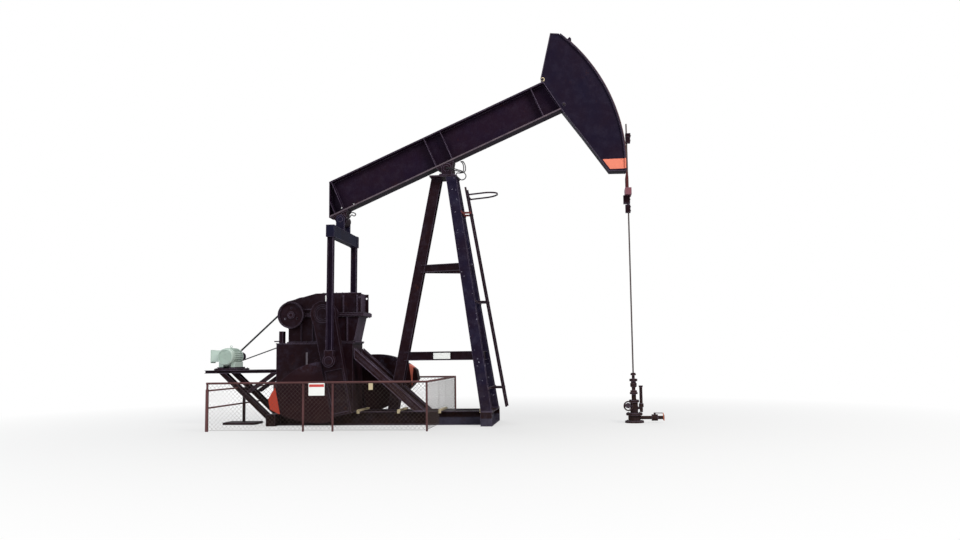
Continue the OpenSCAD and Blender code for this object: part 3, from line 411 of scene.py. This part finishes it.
def base_front(tree, place):
    """The lower part of the base's front end, painted lighter and bluish, as where the sun falls on it."""
    sunlit = maths(tree, "MULTIPLY", step(tree, part_of(tree, place, "X"), *SUNLIT_FROM_X),
                 step(tree, part_of(tree, place, "Z"), *SUNLIT_BELOW_Z))
    return maths(tree, "MULTIPLY", sunlit, step(tree, noise(tree, place, 5.5, 8, 0.75), 0.3, 0.6, 0.45, 1.0))


print("masks ready")

# %% [markdown]
# These coats are the recipe again, each with its own mask. They come last, because a mask has
# to exist before a paint can use it.

# %% Coats with a second colour
# The weights take patches of a painted sky sheen above 1.25 metres, and tips whose orange holds painted
# light and shade.
weight_paint = weathered("weight_paint", (0.016, 0.005, 0.008), (0.023, 0.007, 0.009), rust=0.25, dust=0.1,
                         edge=0.2, sheen=0.9, sheen_from=1.25, mask=weight_tip, mask_colour=tip_colours)
# The lighter edge of the beam's lower flange is a painted highlight.
beam_paint = weathered("beam_paint", BLUISH, BLUISH_SHADE, edge=0.7, sheen=0.12,
                       mask=low_flange, mask_colour=(0.150, 0.115, 0.130))
# The reducer's front wall takes a painted reflection of the sky.
gearbox_paint = weathered("gearbox_paint", DARK, DARK_SHADE,
                          mask=front_wall, mask_colour=(0.066, 0.044, 0.070))
# The horsehead's blue tint and its patches of sheen are a painted reflection of the sky; its orange band is
# safety paint.
head_paint = weathered("head_paint", (0.0080, 0.0052, 0.0180), (0.0105, 0.0048, 0.0145), rust=0.2,
                       sheen=0.12, mask=head_band, mask_colour=(0.78, 0.23, 0.15))
bracket_paint = weathered("bracket_paint", (0.011, 0.003, 0.006), (0.014, 0.004, 0.006),
                          mask=top_bracket, mask_colour=(0.15, 0.036, 0.036))
# The lower part of the base's front end is painted lighter, as lit by the sun.
base_paint = weathered("base_paint", (0.0090, 0.0022, 0.0028), (0.0130, 0.0035, 0.0038), rust=0.5,
                       dust=0.12, mask=base_front, mask_colour=(0.056, 0.052, 0.082))
print("coats of paint:", len(bpy.data.materials))

# %% [markdown]
# ## Steel, wire and rubber
# The polished rod is bare steel with an oil film. The wire lines are stranded rope, dark with
# grease, and their strands are too fine to see from here, so a plain finish does. The belts
# are rubber. One colour with a slightly uneven roughness is enough for all of these.

# %% Bare steel, wire rope and rubber
def plain(name, colour, roughness, metallic=0.0):
    material, tree, shader = new_material(name)
    shader.inputs["Base Color"].default_value = (*colour, 1)
    shader.inputs["Metallic"].default_value = metallic
    place = object_place(tree)
    spots = noise(tree, place, 14, 6, 0.65)
    uneven = step(tree, spots, 0.3, 0.7, roughness - 0.08, roughness + 0.12)
    tree.links.new(uneven, shader.inputs["Roughness"])
    return material


rod_steel = plain("rod_steel", (0.11, 0.085, 0.080), 0.40, 0.7)
wire_rope = plain("wire_rope", (0.075, 0.026, 0.024), 0.65)
hose_black = plain("hose_black", (0.014, 0.011, 0.014), 0.6)
belt_rubber = plain("belt_rubber", (0.022, 0.022, 0.026), 0.62)
bolt_steel = plain("bolt_steel", (0.032, 0.022, 0.026), 0.5, 0.4)
worn_steel = plain("worn_steel", (0.42, 0.40, 0.40), 0.35, 0.9)
netting_wire = plain("netting_wire", (0.060, 0.038, 0.032), 0.6)
# The next colour is a painted strip of sunlight on the tower.
sunlight_streak_paint = plain("sunlight_streak_paint", (0.14, 0.11, 0.13), 0.6)
white_paint = plain("white_paint", (0.97, 0.97, 0.93), 0.5)
red_paint = plain("red_paint", (0.62, 0.05, 0.04), 0.5)
orange_paint = plain("orange_paint", (0.55, 0.15, 0.07), 0.5)
print("plain finishes made")

# %% [markdown]
# ## Dressing the CAD pieces
# Each CAD piece takes its finish by name. A table is the shortest way to say it, and a piece
# that the table leaves out gets the machine's own dark paint.

# %% Finishes on the CAD pieces
FINISHES = {
    "base_beams": base_paint, "front_cross_member": base_paint, "rear_cross_member": base_paint,
    "base_cross_members": base_paint, "motor_leg": base_paint, "motor_arms": base_paint,
    "motor_frame": motor_paint, "motor_fan_cover": motor_paint, "motor_terminal_box": motor_paint,
    "fence_posts": fence_pipe, "fence_rails": fence_pipe, "fence_end_rails": fence_pipe,
    "carrier_bar": carrier_paint, "wellhead": wellhead_iron, "wellhead_valves": wellhead_iron,
    "horsehead": head_paint, "polished_rod": rod_steel, "bridle_lines": wire_rope,
    "horsehead_lines": wire_rope, "v_belts": belt_rubber, "counterweights": weight_paint,
    "base_crossbars": cream_paint, "rope_sockets": socket_paint, "post_front_legs": leg_paint,
    "equalizer": equalizer_paint, "walking_beam": beam_paint, "pitmans": pitman_paint,
    "tower_struts": strut_paint,
    "ladder_brackets": bracket_paint, "gearbox_lower": gearbox_paint, "gearbox_upper": gearbox_paint,
}
for name, piece in nodes.items():
    piece.data.materials.clear()
    piece.data.materials.append(FINISHES.get(name, machine_paint))
print("finished", len(nodes), "pieces")

# %% [markdown]
# ## Small pieces
# Bolts, tubes, netting and plates are too small or too many for the CAD model. Each kind is
# made by one short function. A piece is drawn where it belongs and then rides on the CAD
# body under it, so that it moves with the machine.

# %% Tools for small pieces
def make(name, form, material, smooth=False):
    """Turns a bmesh into an object."""
    mesh = bpy.data.meshes.new(name)
    form.to_mesh(mesh)
    form.free()
    mesh.materials.append(material)
    mesh.polygons.foreach_set("use_smooth", [smooth] * len(mesh.polygons))
    item = bpy.data.objects.new(name, mesh)
    bpy.context.scene.collection.objects.link(item)
    return item


def keep(name, form, material, body, smooth=False):
    """Turns a bmesh into an object that rides on a body."""
    item = make(name, form, material, smooth)
    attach(item, body)


def pointing(centre, direction):
    """Matrix that stands a shape drawn along Z at centre, with its top towards direction."""
    return Matrix.Translation(centre) @ Vector(direction).to_track_quat("Z", "Y").to_matrix().to_4x4()


def rod(form, start, end, radius, sides=12):
    """Adds a straight round bar between two points."""
    span = Vector(end) - Vector(start)
    bmesh.ops.create_cone(form, cap_ends=True, segments=sides, radius1=radius, radius2=radius,
                          depth=span.length, matrix=pointing(Vector(start) + span / 2, span))


def plate(form, centre, size, turn=0.0):
    """Adds a box of a given size, turned about the upright axis."""
    matrix = Matrix.Translation(centre) @ Matrix.Rotation(turn, 4, "Z") @ Matrix.Diagonal((*size, 1))
    bmesh.ops.create_cube(form, size=1, matrix=matrix)


def beam_point(x, y, z):
    """A place given along, across and above the walking beam, from the saddle bearing."""
    along = Vector((math.cos(BEAM_TILT), 0, math.sin(BEAM_TILT)))
    above = Vector((-math.sin(BEAM_TILT), 0, math.cos(BEAM_TILT)))
    return SADDLE + along * x + Vector((0, y, 0)) + above * z


BEAM_UP = beam_point(0, 0, 1) - SADDLE
print("tools ready")

# %% [markdown]
# A bolt is a washer, a hexagon head and the stub of its thread. All the bolts of one place
# become one object, because a hundred objects would only slow the file down.

# %% Bolts
WASHER, HEAD, STUB = (16, 1.35, 0.22), (6, 1.0, 0.75), (10, 0.5, 0.35)


def bolts(name, body, places, radius, material=None):
    """Each place is a point on the surface and the direction that the head faces."""
    form = bmesh.new()
    for foot, facing in places:
        level = 0.0
        facing = Vector(facing).normalized()
        for sides, wide, tall in (WASHER, HEAD, STUB):
            top = level + tall * radius
            rod(form, Vector(foot) + facing * level, Vector(foot) + facing * top, radius * wide, sides)
            level = top
    keep(name, form, material or bolt_steel, body)
    print(name, len(places))


def ring(centre, radius, count, facing, start=0.0):
    """Places round a circle that lies square to facing."""
    matrix = pointing(centre, facing)
    turns = [start + 2 * math.pi * i / count for i in range(count)]
    return [(matrix @ Vector((radius * math.cos(a), radius * math.sin(a), 0)), facing) for a in turns]


def spread(first, last, pitch):
    """Evenly spaced values from first to last, about pitch apart."""
    count = max(1, round(abs(last - first) / pitch))
    return [first + (last - first) * i / count for i in range(count + 1)]


UP, DOWN, RIGHT, LEFT = Vector((0, 0, 1)), Vector((0, 0, -1)), Vector((0, -1, 0)), Vector((0, 1, 0))
FRONT, REAR = Vector((1, 0, 0)), Vector((-1, 0, 0))
print("bolts ready")

# %% [markdown]
# The reducer's two halves are bolted together along a flange, and its covers and its lid have
# rings and rows of smaller bolts. The places start from the CAD pieces' own boxes. An Array
# modifier could lay out a row, but a list can leave a place out where a bearing is in the way.

# %% Bolts of the reducer
FLANGE_BOLT, COVER_BOLT, LID_BOLT = 0.019, 0.014, 0.010
lower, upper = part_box("gearbox_lower"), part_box("gearbox_upper")
FLANGE_Y = upper[1].y - 0.022
FLANGE_T = 0.045
FLANGE_PITCH, FLANGE_END_PITCH, FOOT_PITCH, LID_PITCH = 0.14, 0.18, 0.3, 0.16
SHAFT_CLEAR, INPUT_CLEAR = 0.31, 0.16
flange_x = [x for x in spread(upper[0].x + 0.05, upper[1].x - 0.12, FLANGE_PITCH)
            if abs(x - SHAFT.x) > SHAFT_CLEAR and abs(x - INPUT.x) > INPUT_CLEAR]
flange = [Vector((x, side * FLANGE_Y, SHAFT.z)) for x in flange_x for side in (-1, 1)]
flange += [Vector((upper[1].x - 0.035, y, SHAFT.z)) for y in spread(-0.36, 0.36, FLANGE_END_PITCH)]
bolts("reducer_flange_bolts", "base", [(place + UP * FLANGE_T, UP) for place in flange], FLANGE_BOLT)
bolts("reducer_flange_nuts", "base", [(place - UP * FLANGE_T, DOWN) for place in flange], FLANGE_BOLT)
feet = [Vector((x, side * FLANGE_Y, lower[0].z + 0.03))
        for x in spread(lower[0].x + 0.25, lower[1].x - 0.28, FOOT_PITCH) for side in (-1, 1)]
bolts("reducer_foot_bolts", "base", [(place, UP) for place in feet], FLANGE_BOLT)
COVER_RING, COVER_COUNT = 0.243, 10
cover_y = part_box("crankshaft_bearings")[1].y - 0.08
for name, facing in (("right", RIGHT), ("left", LEFT)):
    centre = Vector((SHAFT.x, facing.y * cover_y, SHAFT.z))
    places = ring(centre, COVER_RING, COVER_COUNT, facing, 0.3)
    bolts("bearing_cover_bolts_" + name, "base", places, COVER_BOLT)
LID_TOP = SHAFT.z + 0.566
lid_x = (upper[1].x - 1.09, upper[1].x - 0.26)
lid = [Vector((x, y, LID_TOP)) for x in spread(*lid_x, LID_PITCH) for y in (-0.27, 0.27)]
lid += [Vector((x, y, LID_TOP)) for x in lid_x for y in (-0.09, 0.09)]
bolts("lid_bolts", "base", [(place, UP) for place in lid], LID_BOLT)

# %% [markdown]
# The saddle's stand is bolted to the plate on top of the post. The two bearings under the
# beam are bolted through its lower flange, so each has heads above and below. Those ride on
# the beam. They are placed along it, with beam_point, because its slope then comes for free.

# %% Bolts at the top of the post and along the beam
CAP_BOLT, STAND_BOLT, BEAM_BOLT = 0.017, 0.015, 0.018
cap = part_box("post_cap_plate")
cap_places = [(x, y) for x in (cap[0].x + 0.06, cap[1].x - 0.035) for y in (-0.22, 0.22)]
bolts("cap_plate_bolts", "base", [(Vector((x, y, cap[1].z)), UP) for x, y in cap_places], CAP_BOLT)
STAND_X, STAND_Y, STAND_FOOT_T = 0.161, 0.295, 0.03
stand_places = [(x, y) for x in (-STAND_X, STAND_X) for y in (-STAND_Y, STAND_Y)]
bolts("saddle_stand_bolts", "base",
      [(Vector((x, y, cap[1].z + STAND_FOOT_T)), UP) for x, y in stand_places], STAND_BOLT)
FLANGE_UNDER, FLANGE_OVER, SEAT_Y = 0.129, 0.199, 0.165
tail_x = -math.sqrt((SADDLE - TAIL).length ** 2 - TAIL_DROP ** 2)
seats = [(x, y) for x in (-0.205, 0.205, tail_x - 0.18, tail_x + 0.22) for y in (-SEAT_Y, SEAT_Y)]
heads = [(beam_point(x, y, FLANGE_UNDER), -BEAM_UP) for x, y in seats]
heads += [(beam_point(x, y, FLANGE_OVER), BEAM_UP) for x, y in seats]
bolts("beam_bolts", "beam_assembly", heads, BEAM_BOLT)

# %% [markdown]
# The horsehead hangs on two pins through its sides. Each end of a pin has a round plate and a
# bolt. The upper plates are pale, and show as a light ring from a long way off. A plate is a
# short round bar, and the same tool makes it as makes a bolt.

# %% Pins of the horsehead
HEAD_SIDE, PIN_BOLT = 0.175, 0.025
UPPER_PIN, LOWER_PIN = Vector((2.500, 0, 8.740)), Vector((3.033, 0, 8.063))
PIN_PLATE_R, PIN_PLATE_T, PIN_PLATE_SIDES = 0.054, 0.012, 24
for name, pin, finish in (("upper", UPPER_PIN, cream_paint), ("lower", LOWER_PIN, head_paint)):
    plate_form = bmesh.new()
    for facing in (RIGHT, LEFT):
        foot = pin + facing * HEAD_SIDE
        rod(plate_form, foot, foot + facing * PIN_PLATE_T, PIN_PLATE_R, PIN_PLATE_SIDES)
    keep(name + "_pin_plates", plate_form, finish, "beam_assembly")
    bolts(name + "_pin_bolts", "beam_assembly",
          [(pin + facing * (HEAD_SIDE + PIN_PLATE_T), facing) for facing in (RIGHT, LEFT)], PIN_BOLT)

# %% [markdown]
# The motor is bolted to its slide base by four worn, shiny bolts, and the slide base to the
# rails. The box on its rear has four screws. The worn bolts get a metal of their own, since a
# paler paint would not glint.

# %% Bolts of the motor
SLIDE_BOLT, MOTOR_BOLT, BOX_SCREW = 0.014, 0.011, 0.007
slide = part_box("motor_base")
SLIDE_PLATE_T, SLIDE_Y = 0.040, 0.39
slide_places = [(x, y) for y in (-SLIDE_Y, SLIDE_Y) for x in (slide[0].x + 0.035, slide[1].x - 0.035)]
bolts("slide_base_bolts", "base",
      [(Vector((x, y, slide[0].z + SLIDE_PLATE_T)), UP) for x, y in slide_places], SLIDE_BOLT)
MOTOR_FOOT_X, MOTOR_FOOT_DROP = 0.197, 0.130
motor_places = [(MOTOR.x + x, y) for x in (-MOTOR_FOOT_X, MOTOR_FOOT_X) for y in (-0.29, 0.15)]
bolts("motor_foot_bolts", "base",
      [(Vector((x, y, MOTOR.z - MOTOR_FOOT_DROP)), UP) for x, y in motor_places], MOTOR_BOLT, worn_steel)
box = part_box("motor_terminal_box")
BOX_INSET = 0.025
box_places = [(y, z) for y in (box[0].y + BOX_INSET, box[1].y - BOX_INSET)
              for z in (box[0].z + BOX_INSET, box[1].z - BOX_INSET)]
bolts("terminal_box_screws", "base", [(Vector((box[0].x, y, z)), REAR) for y, z in box_places], BOX_SCREW)

# %% [markdown]
# A wellhead is a stack of flanges, and each flange has a ring of studs. The clamps on the rod
# are halves that two bolts pull together. The clamps move with the rod, so their bolts ride on
# the rod string. A flange needs only a height, a radius and a number here, and ring does the
# rest.

# %% Studs of the wellhead and bolts of the rod clamps
STUD, CLAMP_BOLT = 0.014, 0.011
rod_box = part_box("polished_rod")
WELL = Vector(((rod_box[0].x + rod_box[1].x) / 2, 0, 0))
studs = ring(WELL + UP * 0.05, 0.192, 8, UP, 0.2) + ring(WELL + UP * 0.24, 0.165, 10, UP)
studs += ring(WELL + UP * 0.19, 0.176, 10, DOWN) + ring(WELL + UP * 0.55, 0.100, 8, UP)
bolts("wellhead_studs", "base", studs, STUD)
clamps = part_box("rod_clamps")
clamp_faces = [(clamps[1].z - 0.05, 0.100), (clamps[1].z - 0.175, 0.090), (clamps[0].z + 0.05, 0.050),
               (clamps[0].z + 0.15, 0.050), (clamps[0].z + 0.34, 0.045)]
CLAMP_Y = 0.042
bolts("clamp_bolts", "rod_string", [(WELL + Vector((out, y, z)), FRONT) for z, out in clamp_faces
                                    for y in (-CLAMP_Y, CLAMP_Y)], CLAMP_BOLT)

# %% [markdown]
# Grease lines hang in open loops beside the saddle bearing and beside the tail bearing. Each
# is a tube along a smooth curve, because a curve with a bevel bends a tube with few points.
# The saddle's lines end at the middle of its shaft, where nothing moves as the beam rocks, and
# their loops hang outside the post's legs. Two bright fittings show on the tail bearing.

# %% Grease tubes and fittings
def tube(name, body, points, radius, material):
    curve = bpy.data.curves.new(name, "CURVE")
    curve.dimensions = "3D"
    curve.bevel_depth = radius
    curve.bevel_resolution = 2
    curve.resolution_u = 10
    curve.use_fill_caps = True
    spline = curve.splines.new("BEZIER")
    spline.bezier_points.add(len(points) - 1)
    for knot, place in zip(spline.bezier_points, points):
        knot.co = place
        knot.handle_left_type = knot.handle_right_type = "AUTO"
    curve.materials.append(material)
    item = bpy.data.objects.new(name, curve)
    bpy.context.scene.collection.objects.link(item)
    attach(item, body)


TUBE, FITTING = 0.013, 0.016
SHAFT_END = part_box("saddle_stand")[1].y + 0.004
tube("saddle_grease_tube", "beam_assembly", [
    (0.36, -0.20, 6.668), (0.46, -0.42, 6.60), (0.52, -0.52, 6.43), (0.50, -0.54, 6.33),
    (0.40, -0.54, 6.30), (0.29, -0.54, 6.285), (0.36, -0.55, 6.16), (0.44, -0.55, 6.12),
    (0.53, -0.54, 6.20), (0.48, -0.53, 6.31), (0.30, -0.50, 6.40), (0.10, -0.42, 6.47),
    (0.0, -SHAFT_END, 6.49)], TUBE, hose_black)
tube("saddle_grease_tube_upper", "beam_assembly", [
    (0.36, -0.185, 6.668), (0.43, -0.38, 6.58), (0.47, -0.50, 6.42), (0.45, -0.52, 6.34),
    (0.30, -0.48, 6.37), (0.10, -0.41, 6.44), (0.0, -SHAFT_END, 6.465)], TUBE, hose_black)
tube("tail_grease_tube", "beam_assembly", [
    (-2.52, -0.19, 5.49), (-2.50, -0.24, 5.43), (-2.43, -0.26, 5.41), (-2.39, -0.26, 5.37),
    (-2.43, -0.26, 5.33), (-2.50, -0.25, 5.36), (-2.55, -0.24, 5.30), (-2.65, -0.215, 5.25)],
    TUBE, hose_black)
for name, place in (("fitting_rear", (-2.776, -0.205, 5.561)), ("fitting_front", (-2.451, -0.205, 5.650))):
    bolts(name, "beam_assembly", [(Vector(place), RIGHT)], FITTING, worn_steel)
print("tubes bent")

# %% [markdown]
# Two wire ropes hang from the horsehead's face and carry the bar. The CAD model holds only
# the short stretch that hangs free at rest. As the bar goes down, more rope unrolls from the
# face, always at the height of the saddle bearing. Here each rope is a straight round bar over
# the stretch of the CAD piece, which is hidden.

# %% Bridle ropes
ROPE_SIDES, ROPE_BACK = 16, 0.020
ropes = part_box("bridle_lines")
ROPE_R = (ropes[1].x - ropes[0].x) / 2
ROPE_X = WELL.x - ROPE_BACK
rope_form = bmesh.new()
for y in (ropes[0].y + ROPE_R, ropes[1].y - ROPE_R):
    rod(rope_form, (ROPE_X, y, ropes[0].z), (ROPE_X, y, ropes[1].z), ROPE_R, ROPE_SIDES)
bridle = make("bridle_ropes", rope_form, wire_rope)
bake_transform(bridle)
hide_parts("bridle_lines")
print("ropes hang free for", round(ropes[1].z - ropes[0].z, 3), "metres at rest")

# %% [markdown]
# The bearings under the beam widen towards it. Their CAD blocks are straight, so a wedge at
# each end of a block makes up the rest. A wedge is an outline of three corners, drawn in the
# beam's own axes and extruded across it, which needs fewer numbers than turning a block.

# %% Wedges beside the bearings under the beam
def prism(name, body, outline, y_from, y_to, material):
    """Outline in the beam's own axes, going along Y."""
    form = bmesh.new()
    face = form.faces.new([form.verts.new(beam_point(x, y_from, z)) for x, z in outline])
    grown = bmesh.ops.extrude_face_region(form, geom=[face])
    moved = [item for item in grown["geom"] if isinstance(item, bmesh.types.BMVert)]
    bmesh.ops.translate(form, verts=moved, vec=(0, y_to - y_from, 0))
    bmesh.ops.recalc_face_normals(form, faces=form.faces)
    keep(name, form, material, body)


WEDGE_TOP = 0.130
for side, sign in (("rear", -1), ("front", 1)):
    for bearing, x, block, wide, foot, half in (("saddle_wedge_", 0.0, 0.119, 0.235, -0.04, 0.185),
                                                ("tail_wedge_", tail_x, 0.129, 0.215, -0.02, 0.175)):
        outline = [(x + sign * block, foot), (x + sign * block, WEDGE_TOP), (x + sign * wide, WEDGE_TOP)]
        prism(bearing + side, "beam_assembly", outline, -half, half, machine_paint)
print("wedges set")

# %% [markdown]
# Two bright marks show on the drive, and both are painted light: a gauge on the reducer's side,
# painted white as a glint, and a pale streak down the tower under it, which is a painted strip
# of sunlight. The gauge is a bevelled bar, and the streak is a very thin plate, because its
# edges are straighter than a noise in the paint could make them.

# %% Gauge painted as a glint, and a painted streak of sunlight
GAUGE_X, GAUGE_Z, GAUGE_SIZE, GAUGE_ROUND = -3.118, 3.17, (0.050, 0.012, 0.21), 0.005
STREAK_X, STREAK_Z, STREAK_SIZE = -3.59, 1.675, (0.05, 0.002, 0.31)
gauge_form = bmesh.new()
plate(gauge_form, Vector((GAUGE_X, lower[0].y + 0.040, GAUGE_Z)), GAUGE_SIZE)
bmesh.ops.bevel(gauge_form, geom=gauge_form.edges[:], affect="EDGES", offset=GAUGE_ROUND,
                offset_type="OFFSET", segments=2, profile=0.5, material=-1)
# The gauge's white is a painted glint.
keep("reducer_gauge_glint", gauge_form, white_paint, "base")
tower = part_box("gearbox_tower")
streak_form = bmesh.new()
plate(streak_form, Vector((STREAK_X, tower[0].y + 0.0095, STREAK_Z)), STREAK_SIZE)
keep("tower_sunlight_streak", streak_form, sunlight_streak_paint, "base")
print("gauge and streak set")

# %% [markdown]
# Chain-link netting closes the fence at both sides and at its front end. It is made of
# straight wires that cross at right angles, in two layers that touch, with a wire round the
# edge, because real bent wire would take many more faces and look the same from here. With
# this thickness of wire the front panel lets about half of the light through, as it does in
# the photograph. At the front end the net is cut out over the base.

# %% Netting
DIAMOND = 0.10
WIRE = 0.0021
NET_FOOT = 0.03


def netting(name, start, end, foot=NET_FOOT):
    """Fills an upright panel between two corners with wires, from foot up to the top rail."""
    along = Vector((end[0] - start[0], end[1] - start[1], 0))
    length, height = along.length, net_top - foot
    along.normalize()
    spare = UP.cross(along) * WIRE
    corner = Vector((start[0], start[1], foot))
    form = bmesh.new()
    for layer in (-1, 1):
        first = DIAMOND / 2 - height
        while first < length:
            low, high = max(0.0, -first), min(height, length - first)
            ends = []
            for rise in (low, high):
                run = first + rise if layer < 0 else length - first - rise
                ends.append(corner + along * run + UP * rise + spare * layer)
            if high - low > 0.01:
                rod(form, *ends, WIRE, 4)
            first += DIAMOND
    for rise in (WIRE, height - WIRE):
        rod(form, corner + UP * rise, corner + UP * rise + along * length, WIRE, 4)
    for run in (WIRE, length - WIRE):
        rod(form, corner + along * run, corner + along * run + UP * height, WIRE, 4)
    keep(name, form, netting_wire, "base")
    print(name, round(length, 2), "by", round(height, 2))


RAIL, NET_GAP = 0.048, 0.01
rails, posts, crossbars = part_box("fence_rails"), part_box("fence_posts"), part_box("base_crossbars")
net_top = rails[1].z - RAIL / 2
rear_x = posts[0].x + 0.080
NET_Y = rails[1].y + 3 * WIRE
netting("netting_right", (rear_x, -NET_Y), (rails[1].x, -NET_Y))
netting("netting_left", (rear_x, NET_Y), (rails[1].x, NET_Y))
base_side, base_top = crossbars[1].y + NET_GAP, crossbars[1].z + NET_GAP
rail_y = rails[1].y - RAIL
net_x = rails[1].x - RAIL / 2
netting("netting_front_right", (net_x, -rail_y), (net_x, -base_side))
netting("netting_front_middle", (net_x, -base_side), (net_x, base_side), base_top)
netting("netting_front_left", (net_x, base_side), (net_x, rail_y))

# %% [markdown]
# A white plate with a plain red band hangs on the fence, with a small tag beside it, and a
# bare white plate is fixed to a brace of the post. They are thin boxes. The brace runs askew,
# so its plate is turned to lie flat on it.

# %% Plates
def board(name, material, centre, size, turn=0.0):
    """Adds a thin plate that stays with the base."""
    form = bmesh.new()
    plate(form, centre, size, turn)
    keep(name, form, material, "base")


PLATE_Y = posts[0].y + 0.004
SIGN, SIGN_SIZE = Vector((-2.772, PLATE_Y, 0.965)), (0.38, 0.003, 0.285)
BAND_PLACE, BAND_SIZE = SIGN + Vector((0, -0.002, 0.085)), (0.35, 0.002, 0.06)
TAG, TAG_SIZE = Vector((-1.495, PLATE_Y, 1.02)), (0.10, 0.003, 0.15)
board("fence_sign", white_paint, SIGN, SIGN_SIZE)
board("fence_sign_band", red_paint, BAND_PLACE, BAND_SIZE)
board("fence_tag", cream_paint, TAG, TAG_SIZE)
BRACE_REAR, BRACE_FRONT = Vector((-1.19, -0.07, 1.70)), Vector((0.807, -0.714, 1.70))
BRACE_PLATE_AT, BRACE_HALF, BRACE_PLATE_SIZE = 0.535, 0.0475, (0.47, 0.003, 0.15)
brace_way = (BRACE_FRONT - BRACE_REAR).normalized()
outward = Vector((brace_way.y, -brace_way.x, 0))
board("brace_plate", white_paint,
      BRACE_REAR.lerp(BRACE_FRONT, BRACE_PLATE_AT) + outward * BRACE_HALF, BRACE_PLATE_SIZE,
      math.atan2(brace_way.y, brace_way.x))
print("plates hung")

# %% [markdown]
# The handwheel at the wellhead has a thick rim. It is a small circle spun round the wheel's
# axis, which gives a ring with even faces. A short orange lever stands at the end of the low
# outlet.

# %% Handwheel rim and lever
RIM_R, RIM_THICK, RIM_STEPS = 0.108, 0.017, 32
LEVER_R, LEVER_Y, LEVER_TOP, LEVER_FOOT = 0.011, -0.082, 0.245, 0.055
wheel = WELL + Vector((-0.145, -0.190, 0.420))
rim_form = bmesh.new()
bmesh.ops.create_circle(rim_form, segments=10, radius=RIM_THICK,
                        matrix=Matrix.Translation(wheel + Vector((RIM_R, 0, 0))))
bmesh.ops.spin(rim_form, geom=rim_form.verts[:] + rim_form.edges[:], cent=wheel, axis=(0, 1, 0),
               angle=2 * math.pi, steps=RIM_STEPS, use_merge=True)
bmesh.ops.recalc_face_normals(rim_form, faces=rim_form.faces)
keep("handwheel_rim", rim_form, wellhead_iron, "base", smooth=True)
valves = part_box("wellhead_valves")
lever_form = bmesh.new()
rod(lever_form, (valves[1].x - 0.034, LEVER_Y, LEVER_TOP),
    (valves[1].x - 0.012, LEVER_Y, LEVER_FOOT), LEVER_R)
keep("outlet_lever", lever_form, orange_paint, "base")
print("handwheel rim and lever made")

# %% [markdown]
# ## Studio
# The object stands on a plain pale floor, which keeps its shadow. With its distance from the
# object the floor fades into white, so no horizon shows. Only the camera sees that white, which
# Light Path tells the material, so the floor throws no extra light on the object.

# %% Floor
FLOOR_HALF = 150
floor_mesh = bpy.data.meshes.new("floor")
floor_form = bmesh.new()
bmesh.ops.create_grid(floor_form, x_segments=1, y_segments=1, size=FLOOR_HALF)
floor_form.to_mesh(floor_mesh)
floor_form.free()
floor = bpy.data.objects.new("floor", floor_mesh)
bpy.context.scene.collection.objects.link(floor)
floor_paint, tree, shader = new_material("floor_paint")
shader.inputs["Base Color"].default_value = (0.56, 0.55, 0.54, 1)
shader.inputs["Roughness"].default_value = 0.9
FADE_FROM, FADE_TO, NEAR_GLOW = 3.0, 15.0, 0.55
glow = add(tree, "ShaderNodeEmission")
distance = add(tree, "ShaderNodeVectorMath", operation="LENGTH")
tree.links.new(object_place(tree), distance.inputs[0])
further = step(tree, distance.outputs["Value"], FADE_FROM, FADE_TO, NEAR_GLOW, 1.0)
faded = maths(tree, "MULTIPLY", further, add(tree, "ShaderNodeLightPath").outputs["Is Camera Ray"])
fade = add(tree, "ShaderNodeMixShader")
tree.links.new(faded, fade.inputs[0])
tree.links.new(shader.outputs[0], fade.inputs[1])
tree.links.new(glow.outputs[0], fade.inputs[2])
tree.links.new(fade.outputs[0], tree.nodes["Material Output"].inputs["Surface"])
floor_mesh.materials.append(floor_paint)
print("floor laid")

# %% [markdown]
# The world is a soft, even sky for the object and plain white for the camera. Light Path tells
# the world which kind of ray asks. With one background for both, the camera would see the dim
# blue that lights the object.

# %% World
world = bpy.data.worlds.new("studio")
bpy.context.scene.world = world
world.use_nodes = True
tree = world.node_tree
tree.nodes.clear()
output = add(tree, "ShaderNodeOutputWorld")
soft_light = add(tree, "ShaderNodeBackground")
soft_light.inputs["Color"].default_value = (0.90, 0.95, 1.0, 1)
soft_light.inputs["Strength"].default_value = 0.55
white = add(tree, "ShaderNodeBackground")
white.inputs["Color"].default_value = (1, 1, 1, 1)
white.inputs["Strength"].default_value = 1.0
path = add(tree, "ShaderNodeLightPath")
seen = maths(tree, "MAXIMUM", path.outputs["Is Camera Ray"], path.outputs["Is Transmission Ray"])
choose = add(tree, "ShaderNodeMixShader")
tree.links.new(seen, choose.inputs[0])
tree.links.new(soft_light.outputs[0], choose.inputs[1])
tree.links.new(white.outputs[0], choose.inputs[2])
tree.links.new(choose.outputs[0], output.inputs["Surface"])
print("sky set")

# %% [markdown]
# Three large lamps light the object at a plain level: a key from the front right, a fill from
# the rear right and one from the left, behind the object. Large lamps give soft shadows, as an
# open sky does.

# %% Lamps
def lamp(name, place, target, size, power, colour):
    data = bpy.data.lights.new(name, "AREA")
    data.size = size
    data.energy = power
    data.color = colour
    item = bpy.data.objects.new(name, data)
    bpy.context.scene.collection.objects.link(item)
    item.location = place
    item.rotation_euler = (Vector(target) - Vector(place)).to_track_quat("-Z", "Y").to_euler()


MIDDLE = (cad_box[0] + cad_box[1]) / 2
lamp("key", (14, -14, 20), MIDDLE, 9, 4200, (1.0, 0.97, 0.92))
lamp("fill", (-16, -18, 10), MIDDLE, 14, 1700, (0.92, 0.96, 1.0))
lamp("back", (-6, 20, 16), MIDDLE, 12, 1500, (0.95, 0.97, 1.0))
bpy.context.scene.view_settings.view_transform = "Standard"
print("studio ready")
